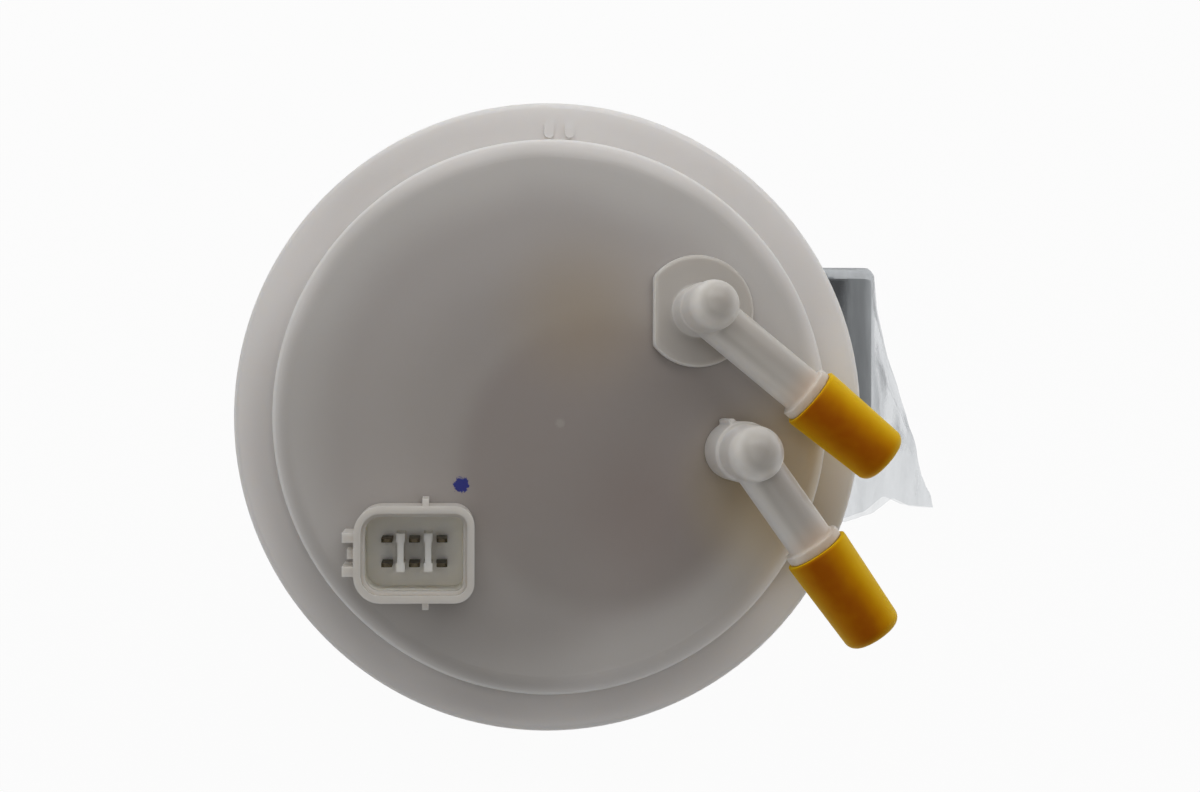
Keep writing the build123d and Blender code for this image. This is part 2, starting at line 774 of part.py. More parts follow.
def make_pump_shell():
    """The rolled steel can and the two end covers it holds."""
    with BuildPart() as can:
        disc(can_radius, can_bottom, can_top, pump_x, pump_y)
        disc(can_inner, can_bottom, can_top, pump_x, pump_y, Mode.SUBTRACT)
    save(can, "pump_can")

    with BuildPart() as inlet:
        disc(can_radius - 0.4, inlet_bottom, can_bottom, pump_x, pump_y)
        fillet(rings(inlet.part, can_radius - 0.4, inlet_bottom), 1.0)
        disc(can_inner - fit, can_bottom, chamber_floor, pump_x, pump_y)
        disc(inlet_spigot_radius, collar_bottom, inlet_bottom, pump_x, pump_y)
        disc(inlet_spigot_radius - 1.5, collar_bottom, chamber_floor - 2.5, pump_x, pump_y, Mode.SUBTRACT)
        disc(shaft_radius + run, chamber_floor - 1.5, chamber_floor, pump_x, pump_y, Mode.SUBTRACT)
        disc(2.5, chamber_floor - 4, chamber_floor, pump_x + 9, pump_y, Mode.SUBTRACT)
    save(inlet, "pump_inlet_cover")

    with BuildPart() as plate:
        disc(can_inner - fit, chamber_floor + fit, body_plate_top, pump_x, pump_y)
        disc(impeller_radius + 2 * fit, chamber_floor + fit, chamber_ceiling, pump_x, pump_y, Mode.SUBTRACT)
        disc(shaft_radius + run, chamber_ceiling, body_plate_top, pump_x, pump_y, Mode.SUBTRACT)
        disc(2.5, chamber_ceiling, body_plate_top, pump_x - 9, pump_y, Mode.SUBTRACT)
    save(plate, "pump_body_plate")

    with BuildPart() as outlet:
        disc(can_radius - 0.4, can_top, outlet_top, pump_x, pump_y)
        fillet(rings(outlet.part, can_radius - 0.4, outlet_top), 3.0)
        disc(can_inner - fit, skirt_bottom, can_top, pump_x, pump_y)
        disc(skirt_inner, skirt_bottom, can_top - 1.0, pump_x, pump_y, Mode.SUBTRACT)
        disc(shaft_radius + run, can_top - 1.0, can_top + 2.0, pump_x, pump_y, Mode.SUBTRACT)
        disc(barb_radius, outlet_top, outlet_top + outlet_barb_length, outlet_x, pump_y)
        disc(barb_bore, can_top, outlet_top + outlet_barb_length, outlet_x, pump_y, Mode.SUBTRACT)
        socket_top = outlet_top + pump_socket_height
        block(pump_socket_size, pump_socket_size, outlet_top - 2, socket_top, pump_socket_x, pump_y)
    save(outlet, "pump_outlet_cover")


def make_pump_motor():
    """Magnets, brushes, armature and impeller inside the can."""
    magnet_outer = can_inner - fit
    magnet_bottom = body_plate_top + fit
    magnet_top = skirt_bottom - fit
    with BuildPart() as magnets:
        disc(magnet_outer, magnet_bottom, magnet_top, pump_x, pump_y)
        disc(magnet_outer - magnet_thickness, magnet_bottom, magnet_top, pump_x, pump_y, Mode.SUBTRACT)
        block(magnet_split, 3 * can_radius, magnet_bottom, magnet_top, pump_x, pump_y, Mode.SUBTRACT)
    save(magnets, "pump_magnets")

    core_bottom = (magnet_bottom + magnet_top - core_length) / 2
    core_top = core_bottom + core_length
    commutator_top = can_top - 3.0
    commutator_bottom = commutator_top - commutator_length
    with BuildPart() as armature:
        disc(shaft_radius, chamber_floor - 1.2, can_top + 1.6, pump_x, pump_y)
        disc(core_radius, core_bottom, core_top, pump_x, pump_y)
        with BuildSketch(Plane((pump_x, pump_y, core_bottom))):
            with PolarLocations(core_radius, 8):
                Circle(1.3)
        extrude(amount=core_length, mode=Mode.SUBTRACT)
        disc(core_radius - 3, core_bottom - winding_rise, core_top + winding_rise, pump_x, pump_y)
        disc(commutator_radius, commutator_bottom, commutator_top, pump_x, pump_y)
    save(armature, "armature")

    with BuildPart() as impeller:
        disc(impeller_radius, chamber_floor + fit, chamber_floor + fit + impeller_thickness, pump_x, pump_y)
        with BuildSketch(Plane((pump_x, pump_y, chamber_floor))):
            with PolarLocations(impeller_radius, 24):
                Rectangle(4.4, 1.8)
        extrude(amount=impeller_thickness + 2, mode=Mode.SUBTRACT)
        disc(shaft_radius, chamber_floor, chamber_ceiling, pump_x, pump_y, Mode.SUBTRACT)
    save(impeller, "impeller")

    brush_z = (commutator_bottom + commutator_top) / 2
    brush_inner = commutator_radius + fit
    brush_outer = (skirt_inner**2 - brush_width**2 / 4) ** 0.5 - fit
    with BuildPart() as brushes:
        for side in (-1, 1):
            brush_x = pump_x + side * (brush_inner + brush_outer) / 2
            block(brush_outer - brush_inner, brush_width, brush_z - 2.5, brush_z + 2.5, brush_x, pump_y)
    save(brushes, "pump_brushes")


def make_pump_mounts():
    """The rubber rings that hold the pump in the cradle and in the cover."""
    with BuildPart() as lower:
        disc(mount_outer, mount_base, mount_base + mount_height, pump_x, pump_y)
        disc(mount_inner, mount_base + mount_lip, mount_base + mount_height, pump_x, pump_y, Mode.SUBTRACT)
        disc(can_radius - 6, mount_base, mount_base + mount_height, pump_x, pump_y, Mode.SUBTRACT)
    save(lower, "pump_mount_bottom")

    with BuildPart() as upper:
        disc(mount_outer, top_mount_bottom, top_mount_top, pump_x, pump_y)
        disc(mount_inner, top_mount_bottom, top_mount_top, pump_x, pump_y, Mode.SUBTRACT)
    save(upper, "pump_mount_top")


def make_strainer():
    """The pick-up: a moulded collar on the pump inlet and a soft mesh sock below it."""
    with BuildPart() as collar:
        disc(inlet_spigot_radius + fit + collar_wall, collar_bottom, inlet_bottom - fit, pump_x, pump_y)
        disc(inlet_spigot_radius + fit + collar_wall + 3, collar_bottom, collar_bottom + 1.2, pump_x, pump_y)
        disc(inlet_spigot_radius + fit, collar_bottom, inlet_bottom - fit, pump_x, pump_y, Mode.SUBTRACT)
    save(collar, "strainer_collar")

    with BuildPart() as sock:
        with BuildSketch(Plane((pump_x, pump_y, strainer_bottom))):
            RectangleRounded(strainer_length, strainer_width, 8)
        extrude(amount=strainer_thickness)
        fillet(sock.faces().sort_by(Axis.Z)[-1].edges(), 2.0)
        fillet(sock.faces().sort_by(Axis.Z)[0].edges(), 2.0)
    save(sock, "strainer_sock")


# ---------------------------------------------------------------- hoses and wiring

def make_hoses():
    """The corrugated supply hose, the return tube and the two hose clamps."""
    route = [
        (outlet_x, pump_y, supply_hose_low),
        (outlet_x, pump_y, supply_hose_bends[0]),
        (supply_x, supply_y, supply_hose_bends[1]),
        (supply_x, supply_y, supply_hose_high),
    ]
    save(tube(route, hose_radius, tube_inner), "supply_hose")

    drop = [
        (return_x, return_y, return_tube_high),
        (return_x, return_y, return_tube_bends[0]),
        (jet_x, jet_y, return_tube_bends[1]),
        (jet_x, jet_y, return_tube_low),
    ]
    save(tube(drop, return_tube_radius, return_tube_inner), "return_tube")

    clamp_inner = hose_radius + fit / 2
    clamp_outer = clamp_inner + clamp_thickness
    places = (
        ("hose_clamp_top", supply_x, supply_y, supply_hose_high - clamp_from_end - clamp_width),
        ("hose_clamp_bottom", outlet_x, pump_y, supply_hose_low + clamp_from_end),
    )
    for label, x, y, bottom in places:
        with BuildPart() as clamp:
            disc(clamp_outer, bottom, bottom + clamp_width, x, y)
            ear_y = y + clamp_inner + (clamp_thickness + clamp_ear_reach) / 2
            block(clamp_ear_length, clamp_thickness + clamp_ear_reach, bottom, bottom + clamp_width, x, ear_y)
            disc(clamp_inner, bottom, bottom + clamp_width, x, y, Mode.SUBTRACT)
        save(clamp, label)


def make_wiring():
    """The plug under the flange, the plug on the pump and the two pairs of wires."""
    with BuildPart() as plug:
        with BuildSketch(Plane((plug_x, plug_y, inner_plug_base))):
            RectangleRounded(inner_plug_length, inner_plug_width, 1.2)
        extrude(amount=inner_plug_height)
        with BuildSketch(Plane((plug_x, plug_y, ceiling - tab_drop - 1))):
            with GridLocations(tab_column_spacing, tab_row_spacing, 3, 2):
                Rectangle(tab_width + 4 * fit, tab_thickness + 4 * fit)
        extrude(amount=inner_plug_height, mode=Mode.SUBTRACT)
    save(plug, "inner_plug")

    with BuildPart() as pump_plug:
        plug_top = pump_plug_base + pump_plug_height
        block(pump_socket_size + 2, pump_socket_size + 1, pump_plug_base, plug_top, pump_socket_x, pump_y)
        fillet(pump_plug.edges().filter_by(Axis.Z), 1.2)
    save(pump_plug, "pump_plug")

    wire_start = inner_plug_base - fit
    pump_route = [
        (plug_x - 3, plug_y + 2, wire_start),
        (plug_x - 3, plug_y + 2, pump_wire_bends[0]),
        (pump_socket_x - wire_pitch / 2, pump_y, pump_wire_bends[1]),
        (pump_socket_x - wire_pitch / 2, pump_y, pump_plug_base + pump_plug_height + fit),
    ]
    save(wire_pair(pump_route), "pump_wires")

    wire_y = sender_terminal_y - 0.7
    sender_route = [
        (plug_x + 1.6, plug_y - 3, wire_start),
        (plug_x + 1.6, plug_y - 3, sender_wire_bends[0]),
        (sender_terminal_x, wire_y, sender_wire_bends[1]),
        (sender_terminal_x, wire_y, sender_top + sender_terminal_length + rest_gap),
    ]
    save(wire_pair(sender_route), "sender_wires")


# ---------------------------------------------------------------- level sender

def sender_plane(y):
    """A plane across the arm's pivot at one depth, facing away from the cup."""
    return Plane((pivot_x, y, pivot_z), x_dir=(1, 0, 0), z_dir=(0, -1, 0))


def make_sender():
    """The sender housing on the cup's flat, its resistor card and two terminals."""
    width = sender_left + sender_right
    height = sender_up + sender_down
    middle = ((sender_right - sender_left) / 2, (sender_up - sender_down) / 2)
    reach = degrees(asin((hub_lever_width / 2 + stop_radius + 2 * rest_gap) / stop_distance))
    with BuildPart() as housing:
        with BuildSketch(sender_plane(pad_y)):
            with Locations(middle):
                RectangleRounded(width, height, 3)
        extrude(amount=sender_plate)
        with BuildSketch(sender_plane(pad_y)):
            Circle(pin_radius)
        extrude(amount=pad_y - pin_front)
        with BuildSketch(sender_plane(plate_face)):
            for angle in (rest_angle - reach, rest_angle + arm_swing + reach):
                with PolarLocations(stop_distance, 1, start_angle=angle):
                    Circle(stop_radius)
        extrude(amount=plate_face - hub_front)
    save(housing, "sender_housing")

    card_width = sender_left - card_edge_margin - card_from_pivot
    with BuildPart() as card:
        with BuildSketch(sender_plane(plate_face)):
            with Locations((-card_from_pivot - card_width / 2, 0)):
                Rectangle(card_width, height - 2 * card_end_margin)
        extrude(amount=sender_card_thickness)
    save(card, "sender_card")

    with BuildPart() as terminals:
        for side in (0, 1):
            x = sender_terminal_x + side * wire_pitch
            block(2.0, 0.8, sender_top, sender_top + sender_terminal_length, x, sender_terminal_y)
    save(terminals, "sender_terminals")


def make_float_arm():
    """The hub on the sender's pin, its wiper, the bent wire, the float and its clip."""
    bend_one = Vector(pivot_x, arm_y, pivot_z) + arm_u * arm_first_run
    wire_start = Vector(pivot_x, arm_y, pivot_z) + arm_u * (pin_radius + 2.4)
    route = [wire_start, bend_one, (float_x, float_near - 6, float_z), (float_x, arm_wire_end, float_z)]
    arm = tube([tuple(Vector(point)) for point in route], arm_wire_radius, 0.0, [arm_bend_radius] * 2)
    save(arm, "arm_wire")

    with BuildPart() as hub:
        with BuildSketch(sender_plane(hub_back)):
            Circle(hub_radius)
            with PolarLocations(hub_lever_length / 2, 1, start_angle=rest_angle):
                Rectangle(hub_lever_length, hub_lever_width)
            Circle(pin_radius + run, mode=Mode.SUBTRACT)
        extrude(amount=hub_thickness)
        add(arm.part, mode=Mode.SUBTRACT)
    save(hub, "arm_hub")

    wiper_start = hub_radius - wiper_leg
    wiper_runs = (
        (wiper_length, wiper_thickness),
        (wiper_leg, card_face - 2 * fit - hub_back),
    )
    with BuildPart() as wiper:
        for length, depth in wiper_runs:
            with BuildSketch(sender_plane(card_face - 2 * fit)) as strip:
                with PolarLocations(wiper_start + length / 2, 1, start_angle=rest_angle + 180):
                    Rectangle(length, wiper_width)
            extrude(strip.sketch, amount=depth)
    save(wiper, "wiper")

    with BuildPart() as foam:
        with Locations((float_x, float_y, float_z)):
            Box(float_width, float_length, float_height)
        fillet(foam.edges().filter_by(Axis.Y), 6.0)
        fillet(foam.faces().sort_by(Axis.Y)[-1].edges(), 1.5)
        fillet(foam.faces().sort_by(Axis.Y)[0].edges(), 1.5)
        add(arm.part, mode=Mode.SUBTRACT)
    save(foam, "float")

    with BuildPart() as clip:
        with BuildSketch(Plane((float_x, float_far + fit, float_z), z_dir=(0, 1, 0))):
            Circle(float_clip_radius)
            Circle(arm_wire_radius, mode=Mode.SUBTRACT)
        extrude(amount=float_clip_thickness)
    save(clip, "float_clip")


def bag_section(y, left, right, high_left, high_right, inset, corner):
    """One cross-section of the bag: as high as the float at its left, flatter past a knee."""
    points = [
        (inset - left, inset - high_left),
        (bag_knee, inset - high_right),
        (right - inset, inset - high_right),
        (right - inset, high_right - inset),
        (bag_knee, high_right - inset),
        (inset - left, high_left - inset),
    ]
    across = Plane((float_x, y, float_z), x_dir=(1, 0, 0), z_dir=(0, 1, 0))
    with BuildSketch(across) as section:
        with BuildLine():
            Polyline(*points, close=True)
        make_face()
        ends = section.vertices().group_by(Axis.X)
        fillet(ends[0] + ends[-1], corner - inset)
    return section.sketch


def make_float_bag():
    """A thin bag pulled over the float; it widens and flattens toward its loose mouth."""
    far = arm_wire_end + bag_gap + bag_film
    snug = float_width / 2 + bag_gap + bag_film
    high = float_height / 2 + bag_gap + bag_film
    flare_y = float_near + bag_flare_from
    flatten_y = float_near + bag_flatten_from
    widening = snug + (bag_mouth_right - snug) * (flare_y - flatten_y) / (bag_flare_from - bag_mouth_from)
    mouth_y = float_near + bag_mouth_from - bag_film
    mouth_size = (bag_mouth_left, bag_mouth_right, bag_mouth_height_left, bag_mouth_height_right)
    with BuildPart() as bag:
        for inset, mode in ((0, Mode.ADD), (bag_film, Mode.SUBTRACT)):
            sections = [
                bag_section(far - inset, snug, snug, high, high, inset, bag_corner),
                bag_section(flare_y, snug, snug, high, high, inset, bag_corner),
                bag_section(flatten_y, snug, widening, high, high, inset, bag_corner),
                bag_section(mouth_y, *mouth_size, inset, bag_mouth_corner),
            ]
            loft(sections, ruled=True, mode=mode)

        # The mouth is cut unevenly, and a slit on the inner side lets the arm in.
        slit_y = float_near + bag_slit_from
        slit_inside = Plane((float_x - bag_mouth_left, slit_y, float_z - high + bag_film))
        with BuildSketch(slit_inside) as slit:
            Rectangle(2 * bag_slit_depth, 2 * snug, align=(Align.CENTER, Align.MAX))
        extrude(slit.sketch, amount=2 * (high - bag_film), mode=Mode.SUBTRACT)
        beyond = 3 * snug
        outside = [
            (beyond, bag_mouth_edge[-1][1]),
            (beyond, -beyond),
            (-beyond, -beyond),
            (-beyond, bag_mouth_edge[0][1]),
        ]
        with BuildSketch(Plane((float_x, float_near, float_z - 2 * high))) as loose:
            with BuildLine():
                Polyline(*bag_mouth_edge, *outside, close=True)
            make_face()
        extrude(loose.sketch, amount=4 * high, mode=Mode.SUBTRACT)
    save(bag, "float_bag")


os.makedirs("parts", exist_ok=True)
make_flange_lid()
make_connector_terminals()
make_supply_elbow()
make_return_elbow()
make_cap("supply_cap", supply_port)
make_cap("return_cap", return_port)
make_guide_rods()
make_rod_clips()
make_height_springs()
make_reservoir_cup()
make_reservoir_cover()
make_umbrella_valve()
make_jet_pump()
make_pump_shell()
make_pump_motor()
make_pump_mounts()
make_strainer()
make_hoses()
make_wiring()
make_sender()
make_float_arm()
make_float_bag()
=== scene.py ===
# %% [markdown]
# # Dressing a fuel pump module
# The frame holds every hard piece of the module at its real size: a moulded flange with
# two pipe ports, a sprung fuel pot with its pump, and a level sender with a float.
# This lesson adds what the frame leaves out: real finishes, soft and flexible pieces,
# a camera above the flange and plain, even light. Everything is in metres, with the
# origin at the centre of the flange's sealing face and +Z out of the tank.

import json
import math

import bmesh
import bpy
import numpy as np
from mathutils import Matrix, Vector, noise


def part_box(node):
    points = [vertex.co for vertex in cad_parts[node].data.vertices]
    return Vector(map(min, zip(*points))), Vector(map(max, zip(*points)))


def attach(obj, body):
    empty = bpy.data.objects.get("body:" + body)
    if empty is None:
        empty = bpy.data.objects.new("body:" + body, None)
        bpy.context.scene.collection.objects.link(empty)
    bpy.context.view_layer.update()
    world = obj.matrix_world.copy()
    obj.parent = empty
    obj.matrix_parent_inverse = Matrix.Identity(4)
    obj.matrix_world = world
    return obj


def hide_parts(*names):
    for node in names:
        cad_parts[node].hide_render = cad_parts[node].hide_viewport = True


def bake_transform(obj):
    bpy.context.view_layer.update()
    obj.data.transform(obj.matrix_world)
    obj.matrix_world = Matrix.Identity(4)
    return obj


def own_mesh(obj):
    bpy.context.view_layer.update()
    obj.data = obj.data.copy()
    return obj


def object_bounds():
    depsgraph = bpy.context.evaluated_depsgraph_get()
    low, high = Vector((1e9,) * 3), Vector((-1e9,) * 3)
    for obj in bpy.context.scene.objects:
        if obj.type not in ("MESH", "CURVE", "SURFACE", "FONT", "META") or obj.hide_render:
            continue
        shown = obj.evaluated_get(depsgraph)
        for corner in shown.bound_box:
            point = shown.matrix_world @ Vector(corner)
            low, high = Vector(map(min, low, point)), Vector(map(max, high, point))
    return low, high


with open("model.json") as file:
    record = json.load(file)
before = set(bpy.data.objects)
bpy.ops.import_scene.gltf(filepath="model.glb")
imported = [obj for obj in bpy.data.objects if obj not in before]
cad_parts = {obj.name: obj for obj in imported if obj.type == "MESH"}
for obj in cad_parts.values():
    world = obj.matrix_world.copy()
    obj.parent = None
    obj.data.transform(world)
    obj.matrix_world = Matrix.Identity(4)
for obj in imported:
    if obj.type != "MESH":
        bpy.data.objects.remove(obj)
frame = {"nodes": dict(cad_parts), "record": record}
cad_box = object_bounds()
MM = 0.001
scene = bpy.context.scene
scene.view_settings.view_transform = "Standard"
print("frame has", len(frame["nodes"]), "pieces, size in mm",
      [round((high - low) / MM, 1) for low, high in zip(*cad_box)])

# %% [markdown]
# ## Small tools for colours and nodes
# Colours are chosen as sRGB hex values, the way a paint card gives them, but shaders
# work in linear light, so one function converts them. Another adds a shader node with
# its settings and inputs in one line: an input may be a number, a colour or another
# node's output, and then it becomes a link. The steps used most have a short form.


# %% Colour and node tools
def linear(hex_colour):
    channels = [int(hex_colour[i:i + 2], 16) / 255 for i in (1, 3, 5)]
    curve = [c / 12.92 if c <= 0.04045 else ((c + 0.055) / 1.055) ** 2.4 for c in channels]
    return (*curve, 1.0)


def add_node(tree, kind, inputs=None, **settings):
    node = tree.nodes.new(kind)
    for name, value in settings.items():
        setattr(node, name, value)
    for name, value in (inputs or {}).items():
        socket = node.inputs[name]
        if isinstance(value, bpy.types.NodeSocket):
            tree.links.new(value, socket)
        else:
            socket.default_value = value
    return node


def start_material(name, **shader_values):
    material = bpy.data.materials.new(name)
    material.use_nodes = True
    tree = material.node_tree
    shader = tree.nodes["Principled BSDF"]
    for socket, value in shader_values.items():
        shader.inputs[socket.replace("_", " ")].default_value = value
    return material, tree, shader


def arithmetic(tree, operation, first, second):
    return add_node(tree, "ShaderNodeMath", {0: first, 1: second}, operation=operation).outputs[0]


def arrows(tree, operation, first, second):
    """The same for vectors: one step of arithmetic on all three axes."""
    return add_node(tree, "ShaderNodeVectorMath", {0: first, 1: second}, operation=operation).outputs[0]


def mix_levels(tree, share, low, high):
    return add_node(tree, "ShaderNodeMix", {0: share, 2: low, 3: high}, data_type="FLOAT").outputs[0]


def mix_colours(tree, share, colour, other):
    other = linear(other) if isinstance(other, str) else other
    return add_node(tree, "ShaderNodeMix", {0: share, 6: colour, 7: other}, data_type="RGBA").outputs[2]


def colour_from(tree, shader, colour):
    tree.links.new(colour, shader.inputs["Base Color"])


def show(tree, surface):
    """Make a mixed shader the one that the material shows."""
    tree.links.new(surface.outputs[0], tree.nodes["Material Output"].inputs["Surface"])


print("node tools ready; mid grey is", round(linear("#808080")[0], 3), "in linear light")


# %% [markdown]
# ## Patterns shared by many finishes
# Moulded, drawn and cast parts all carry a faint unevenness. Each one is a noise in
# object space, in millimetres, so that a pattern keeps its real size on every piece.
# Stops in a colour ramp are sRGB hex values, or plain numbers where it makes a level.


# %% Pattern tools
def millimetres(tree, stretch=(1, 1, 1)):
    place = add_node(tree, "ShaderNodeTexCoord").outputs["Object"]
    scale = [1 / (MM * s) for s in stretch]
    return add_node(tree, "ShaderNodeMapping", {"Vector": place, "Scale": scale}).outputs[0]


def grain(tree, size, stretch=(1, 1, 1), detail=3.0, roughness=0.55):
    return add_node(tree, "ShaderNodeTexNoise", {
        "Vector": millimetres(tree, stretch), "Scale": 1 / size,
        "Detail": detail, "Roughness": roughness,
    }).outputs["Fac"]


def ramp(tree, factor, stops, interpolation="LINEAR"):
    node = add_node(tree, "ShaderNodeValToRGB", {"Fac": factor})
    node.color_ramp.interpolation = interpolation
    while len(node.color_ramp.elements) < len(stops):
        node.color_ramp.elements.new(1.0)
    for element, (position, colour) in zip(node.color_ramp.elements, stops):
        element.position = position
        element.color = linear(colour) if isinstance(colour, str) else (colour, colour, colour, 1)
    return node.outputs["Color"]


def spread(tree, factor, low, high, start=0.0, end=1.0):
    """A factor that runs from start to end, spread over low to high."""
    return add_node(tree, "ShaderNodeMapRange", {
        "Value": factor, "From Min": start, "From Max": end, "To Min": low, "To Max": high,
    }).outputs["Result"]


def raise_surface(tree, shader, height, depth, strength=1.0):
    bump = add_node(tree, "ShaderNodeBump", {
        "Height": height, "Distance": depth * MM, "Strength": strength,
    })
    tree.links.new(bump.outputs["Normal"], shader.inputs["Normal"])


print("pattern tools ready, in millimetres")

# %% [markdown]
# ## The camera
# The camera looks straight down on the flange from about a third of a metre, the way a
# part on a bench is looked over, and stands a little to one side, so that the float
# shows past the rim. The whole module sits left of the middle of the picture, which a
# small lens shift does without tilting the flange.

# %% Camera
flange_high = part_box("flange_lid")[1]
LENS, SENSOR_WIDTH = 48.45, 36.0
CAMERA_PLACE = Vector((-23.13, 1.86, 347.12)) * MM
CAMERA_TURN = [math.radians(angle) for angle in (0.41, -2.23, 0.11)]
LENS_SHIFT = 0.08
NEAREST = 0.01

camera_data = bpy.data.cameras.new("bench_camera")
camera_data.lens = LENS
camera_data.sensor_width = SENSOR_WIDTH
camera_data.shift_x = LENS_SHIFT
camera_data.clip_start = NEAREST
camera = bpy.data.objects.new("bench_camera", camera_data)
scene.collection.objects.link(camera)
camera.location = CAMERA_PLACE
camera.rotation_euler = CAMERA_TURN
scene.camera = camera
print("camera stands", round((CAMERA_PLACE.z - flange_high.z) / MM), "mm above the shroud")

# %% [markdown]
# ## Room and floor
# The module stands on a pale table in a pale room. Both are white to the camera, in
# mirrors and through film, yet the light they give stays low, because Light Path tells
# the shader which kind of ray is asking. Mirrors see a darker ceiling than horizon, so
# that flat metal facing up does not turn into plain white.


# %% World and floor
def white_for_eye_rays(tree):
    rays = add_node(tree, "ShaderNodeLightPath").outputs
    seen = arithmetic(tree, "MAXIMUM", rays["Is Camera Ray"], rays["Is Glossy Ray"])
    return arithmetic(tree, "MAXIMUM", seen, rays["Is Transmission Ray"])


WORLD_LEVEL, ZENITH_LEVEL = 0.16, 0.15
world = bpy.data.worlds.new("pale_room")
scene.world = world
world.use_nodes = True
world_tree = world.node_tree
background = world_tree.nodes["Background"]
background.inputs["Color"].default_value = (1, 1, 1, 1)
direction = add_node(world_tree, "ShaderNodeTexCoord").outputs["Generated"]
sky = add_node(world_tree, "ShaderNodeSeparateXYZ", {0: direction}).outputs
room = ramp(world_tree, sky["Z"], [(0.0, 1.0), (0.25, 1.0), (0.8, ZENITH_LEVEL)])
glossy = add_node(world_tree, "ShaderNodeLightPath").outputs["Is Glossy Ray"]
seen_white = mix_levels(world_tree, glossy, 1.0, room)
level = mix_levels(world_tree, white_for_eye_rays(world_tree), WORLD_LEVEL, seen_white)
world_tree.links.new(level, background.inputs["Strength"])

FLOOR_DROP, TABLE_HALF = 0.0003, 3.0
floor_mesh = bpy.data.meshes.new("table_top")
floor_z = cad_box[0][2] - FLOOR_DROP
corners = [(x * TABLE_HALF, y * TABLE_HALF, floor_z) for x, y in ((-1, -1), (1, -1), (1, 1), (-1, 1))]
floor_mesh.from_pydata(corners, [], [(0, 1, 2, 3)])
table_top = bpy.data.objects.new("table_top", floor_mesh)
scene.collection.objects.link(table_top)

SHADOW_SHARE = 0.05
paper, tree, shader = start_material("white_table_paper", Base_Color=(0.9, 0.9, 0.9, 1), Roughness=0.9)
glow = add_node(tree, "ShaderNodeEmission", {"Color": (1, 1, 1, 1), "Strength": 1.0})
share = spread(tree, white_for_eye_rays(tree), 0.0, 1.0 - SHADOW_SHARE)
sheet = add_node(tree, "ShaderNodeMixShader", {0: share, 1: shader.outputs[0], 2: glow.outputs[0]})
show(tree, sheet)
floor_mesh.materials.append(paper)
print("table is", round(-floor_z / MM, 1), "mm below the sealing face")

# %% [markdown]
# ## Lamps
# Natural white plastic shows its form only where light comes from the side, so four
# broad panels stand low round the module, the front one weakest. A small softbox behind
# the top edge of the picture draws the ribs and rims, and a broad one overhead fills
# the flange evenly.


# %% Lamps
def area_lamp(name, place, target, size, power):
    data = bpy.data.lights.new(name, "AREA")
    data.shape = "RECTANGLE"
    data.size, data.size_y = size
    data.energy = power
    lamp = bpy.data.objects.new(name, data)
    scene.collection.objects.link(lamp)
    lamp.location = place
    lamp.rotation_euler = (Vector(target) - Vector(place)).to_track_quat("-Z", "Y").to_euler()


RING_DISTANCE, RING_MIDDLE = 0.55, -0.06
PANEL_SIZE = (0.8, 0.26)
PANEL_POWERS = [("right", 0, 0.5), ("back", 90, 0.55), ("left", 180, 0.6), ("front", 270, 0.22)]
for side, angle, power in PANEL_POWERS:
    turn = math.radians(angle)
    place = Vector((RING_DISTANCE * math.cos(turn), RING_DISTANCE * math.sin(turn), RING_MIDDLE))
    area_lamp(side + "_panel", place, (0, 0, RING_MIDDLE), PANEL_SIZE, power)

# name, place, target and size in metres, power in watts
SOFTBOXES = [
    ("back_softbox", (0.03, 0.23, 0.20), (0.01, 0.02, 0), (0.35, 0.12), 0.34),
    ("overhead_softbox", (-0.06, 0.03, 0.62), (0, 0, 0), (0.45, 0.45), 0.58),
]
for softbox in SOFTBOXES:
    area_lamp(*softbox)

# %% [markdown]
# ## Natural acetal
# The flange, ports and pot are injection-moulded acetal (POM). It is uncoloured, so it
# is a milky white that lets a little light through: thin edges glow and dark things
# behind a wall show as a soft tone. The shader gets a large share of subsurface light
# for the glow, a satin roughness of about 0.4 and a very fine mould texture. The pot is
# one even tone with a faint cloudiness.

# %% Acetal
ACETAL_IOR = 1.48
GLOW_SHARE, GLOW_DEPTH, GLOW_COLOUR = 0.8, 3.0, (1.0, 0.94, 0.84)
MOULD_GRAIN, MOULD_DEPTH = 0.5, 0.012
CLOUD_SIZE = 30.0


def acetal_base(name, roughness=0.38):
    material, tree, shader = start_material(
        name, Roughness=roughness, IOR=ACETAL_IOR, Subsurface_Weight=GLOW_SHARE,
        Subsurface_Radius=GLOW_COLOUR, Subsurface_Scale=GLOW_DEPTH * MM,
    )
    raise_surface(tree, shader, grain(tree, MOULD_GRAIN, detail=2.0), MOULD_DEPTH)
    return material, tree, shader


def clouded_acetal(name, light, shade):
    material, tree, shader = acetal_base(name)
    cloud = grain(tree, CLOUD_SIZE, detail=1.0)
    colour_from(tree, shader, ramp(tree, cloud, [(0.35, shade), (0.65, light)]))
    return material


POT_ACETAL = clouded_acetal("natural_acetal_pot", "#f0eee9", "#eae7e1")
print("acetal finish:", POT_ACETAL.name)

# %% [markdown]
# ## Painting a tone at a place
# Light that shines through a wall, and the shade of a part behind it, are painted as a
# soft spot at a known place, in object space: a distance from the place in mm gives a
# share, and the share mixes in a tint. The same spot also paints real marks. A box paints
# a tone, light or shade, into a wall as a whole, and the way a surface faces paints it
# darker or lighter, standing for how thick a round wall is in the direction of the light.


# %% Tone tools
def facing(tree, direction):
    """How far the surface faces a direction: 1 straight towards it, 0 side on."""
    normal = add_node(tree, "ShaderNodeTexCoord").outputs["Normal"]
    toward = tuple(Vector(direction).normalized())
    dot = add_node(tree, "ShaderNodeVectorMath", {0: normal, 1: toward}, operation="DOT_PRODUCT")
    return dot.outputs["Value"]


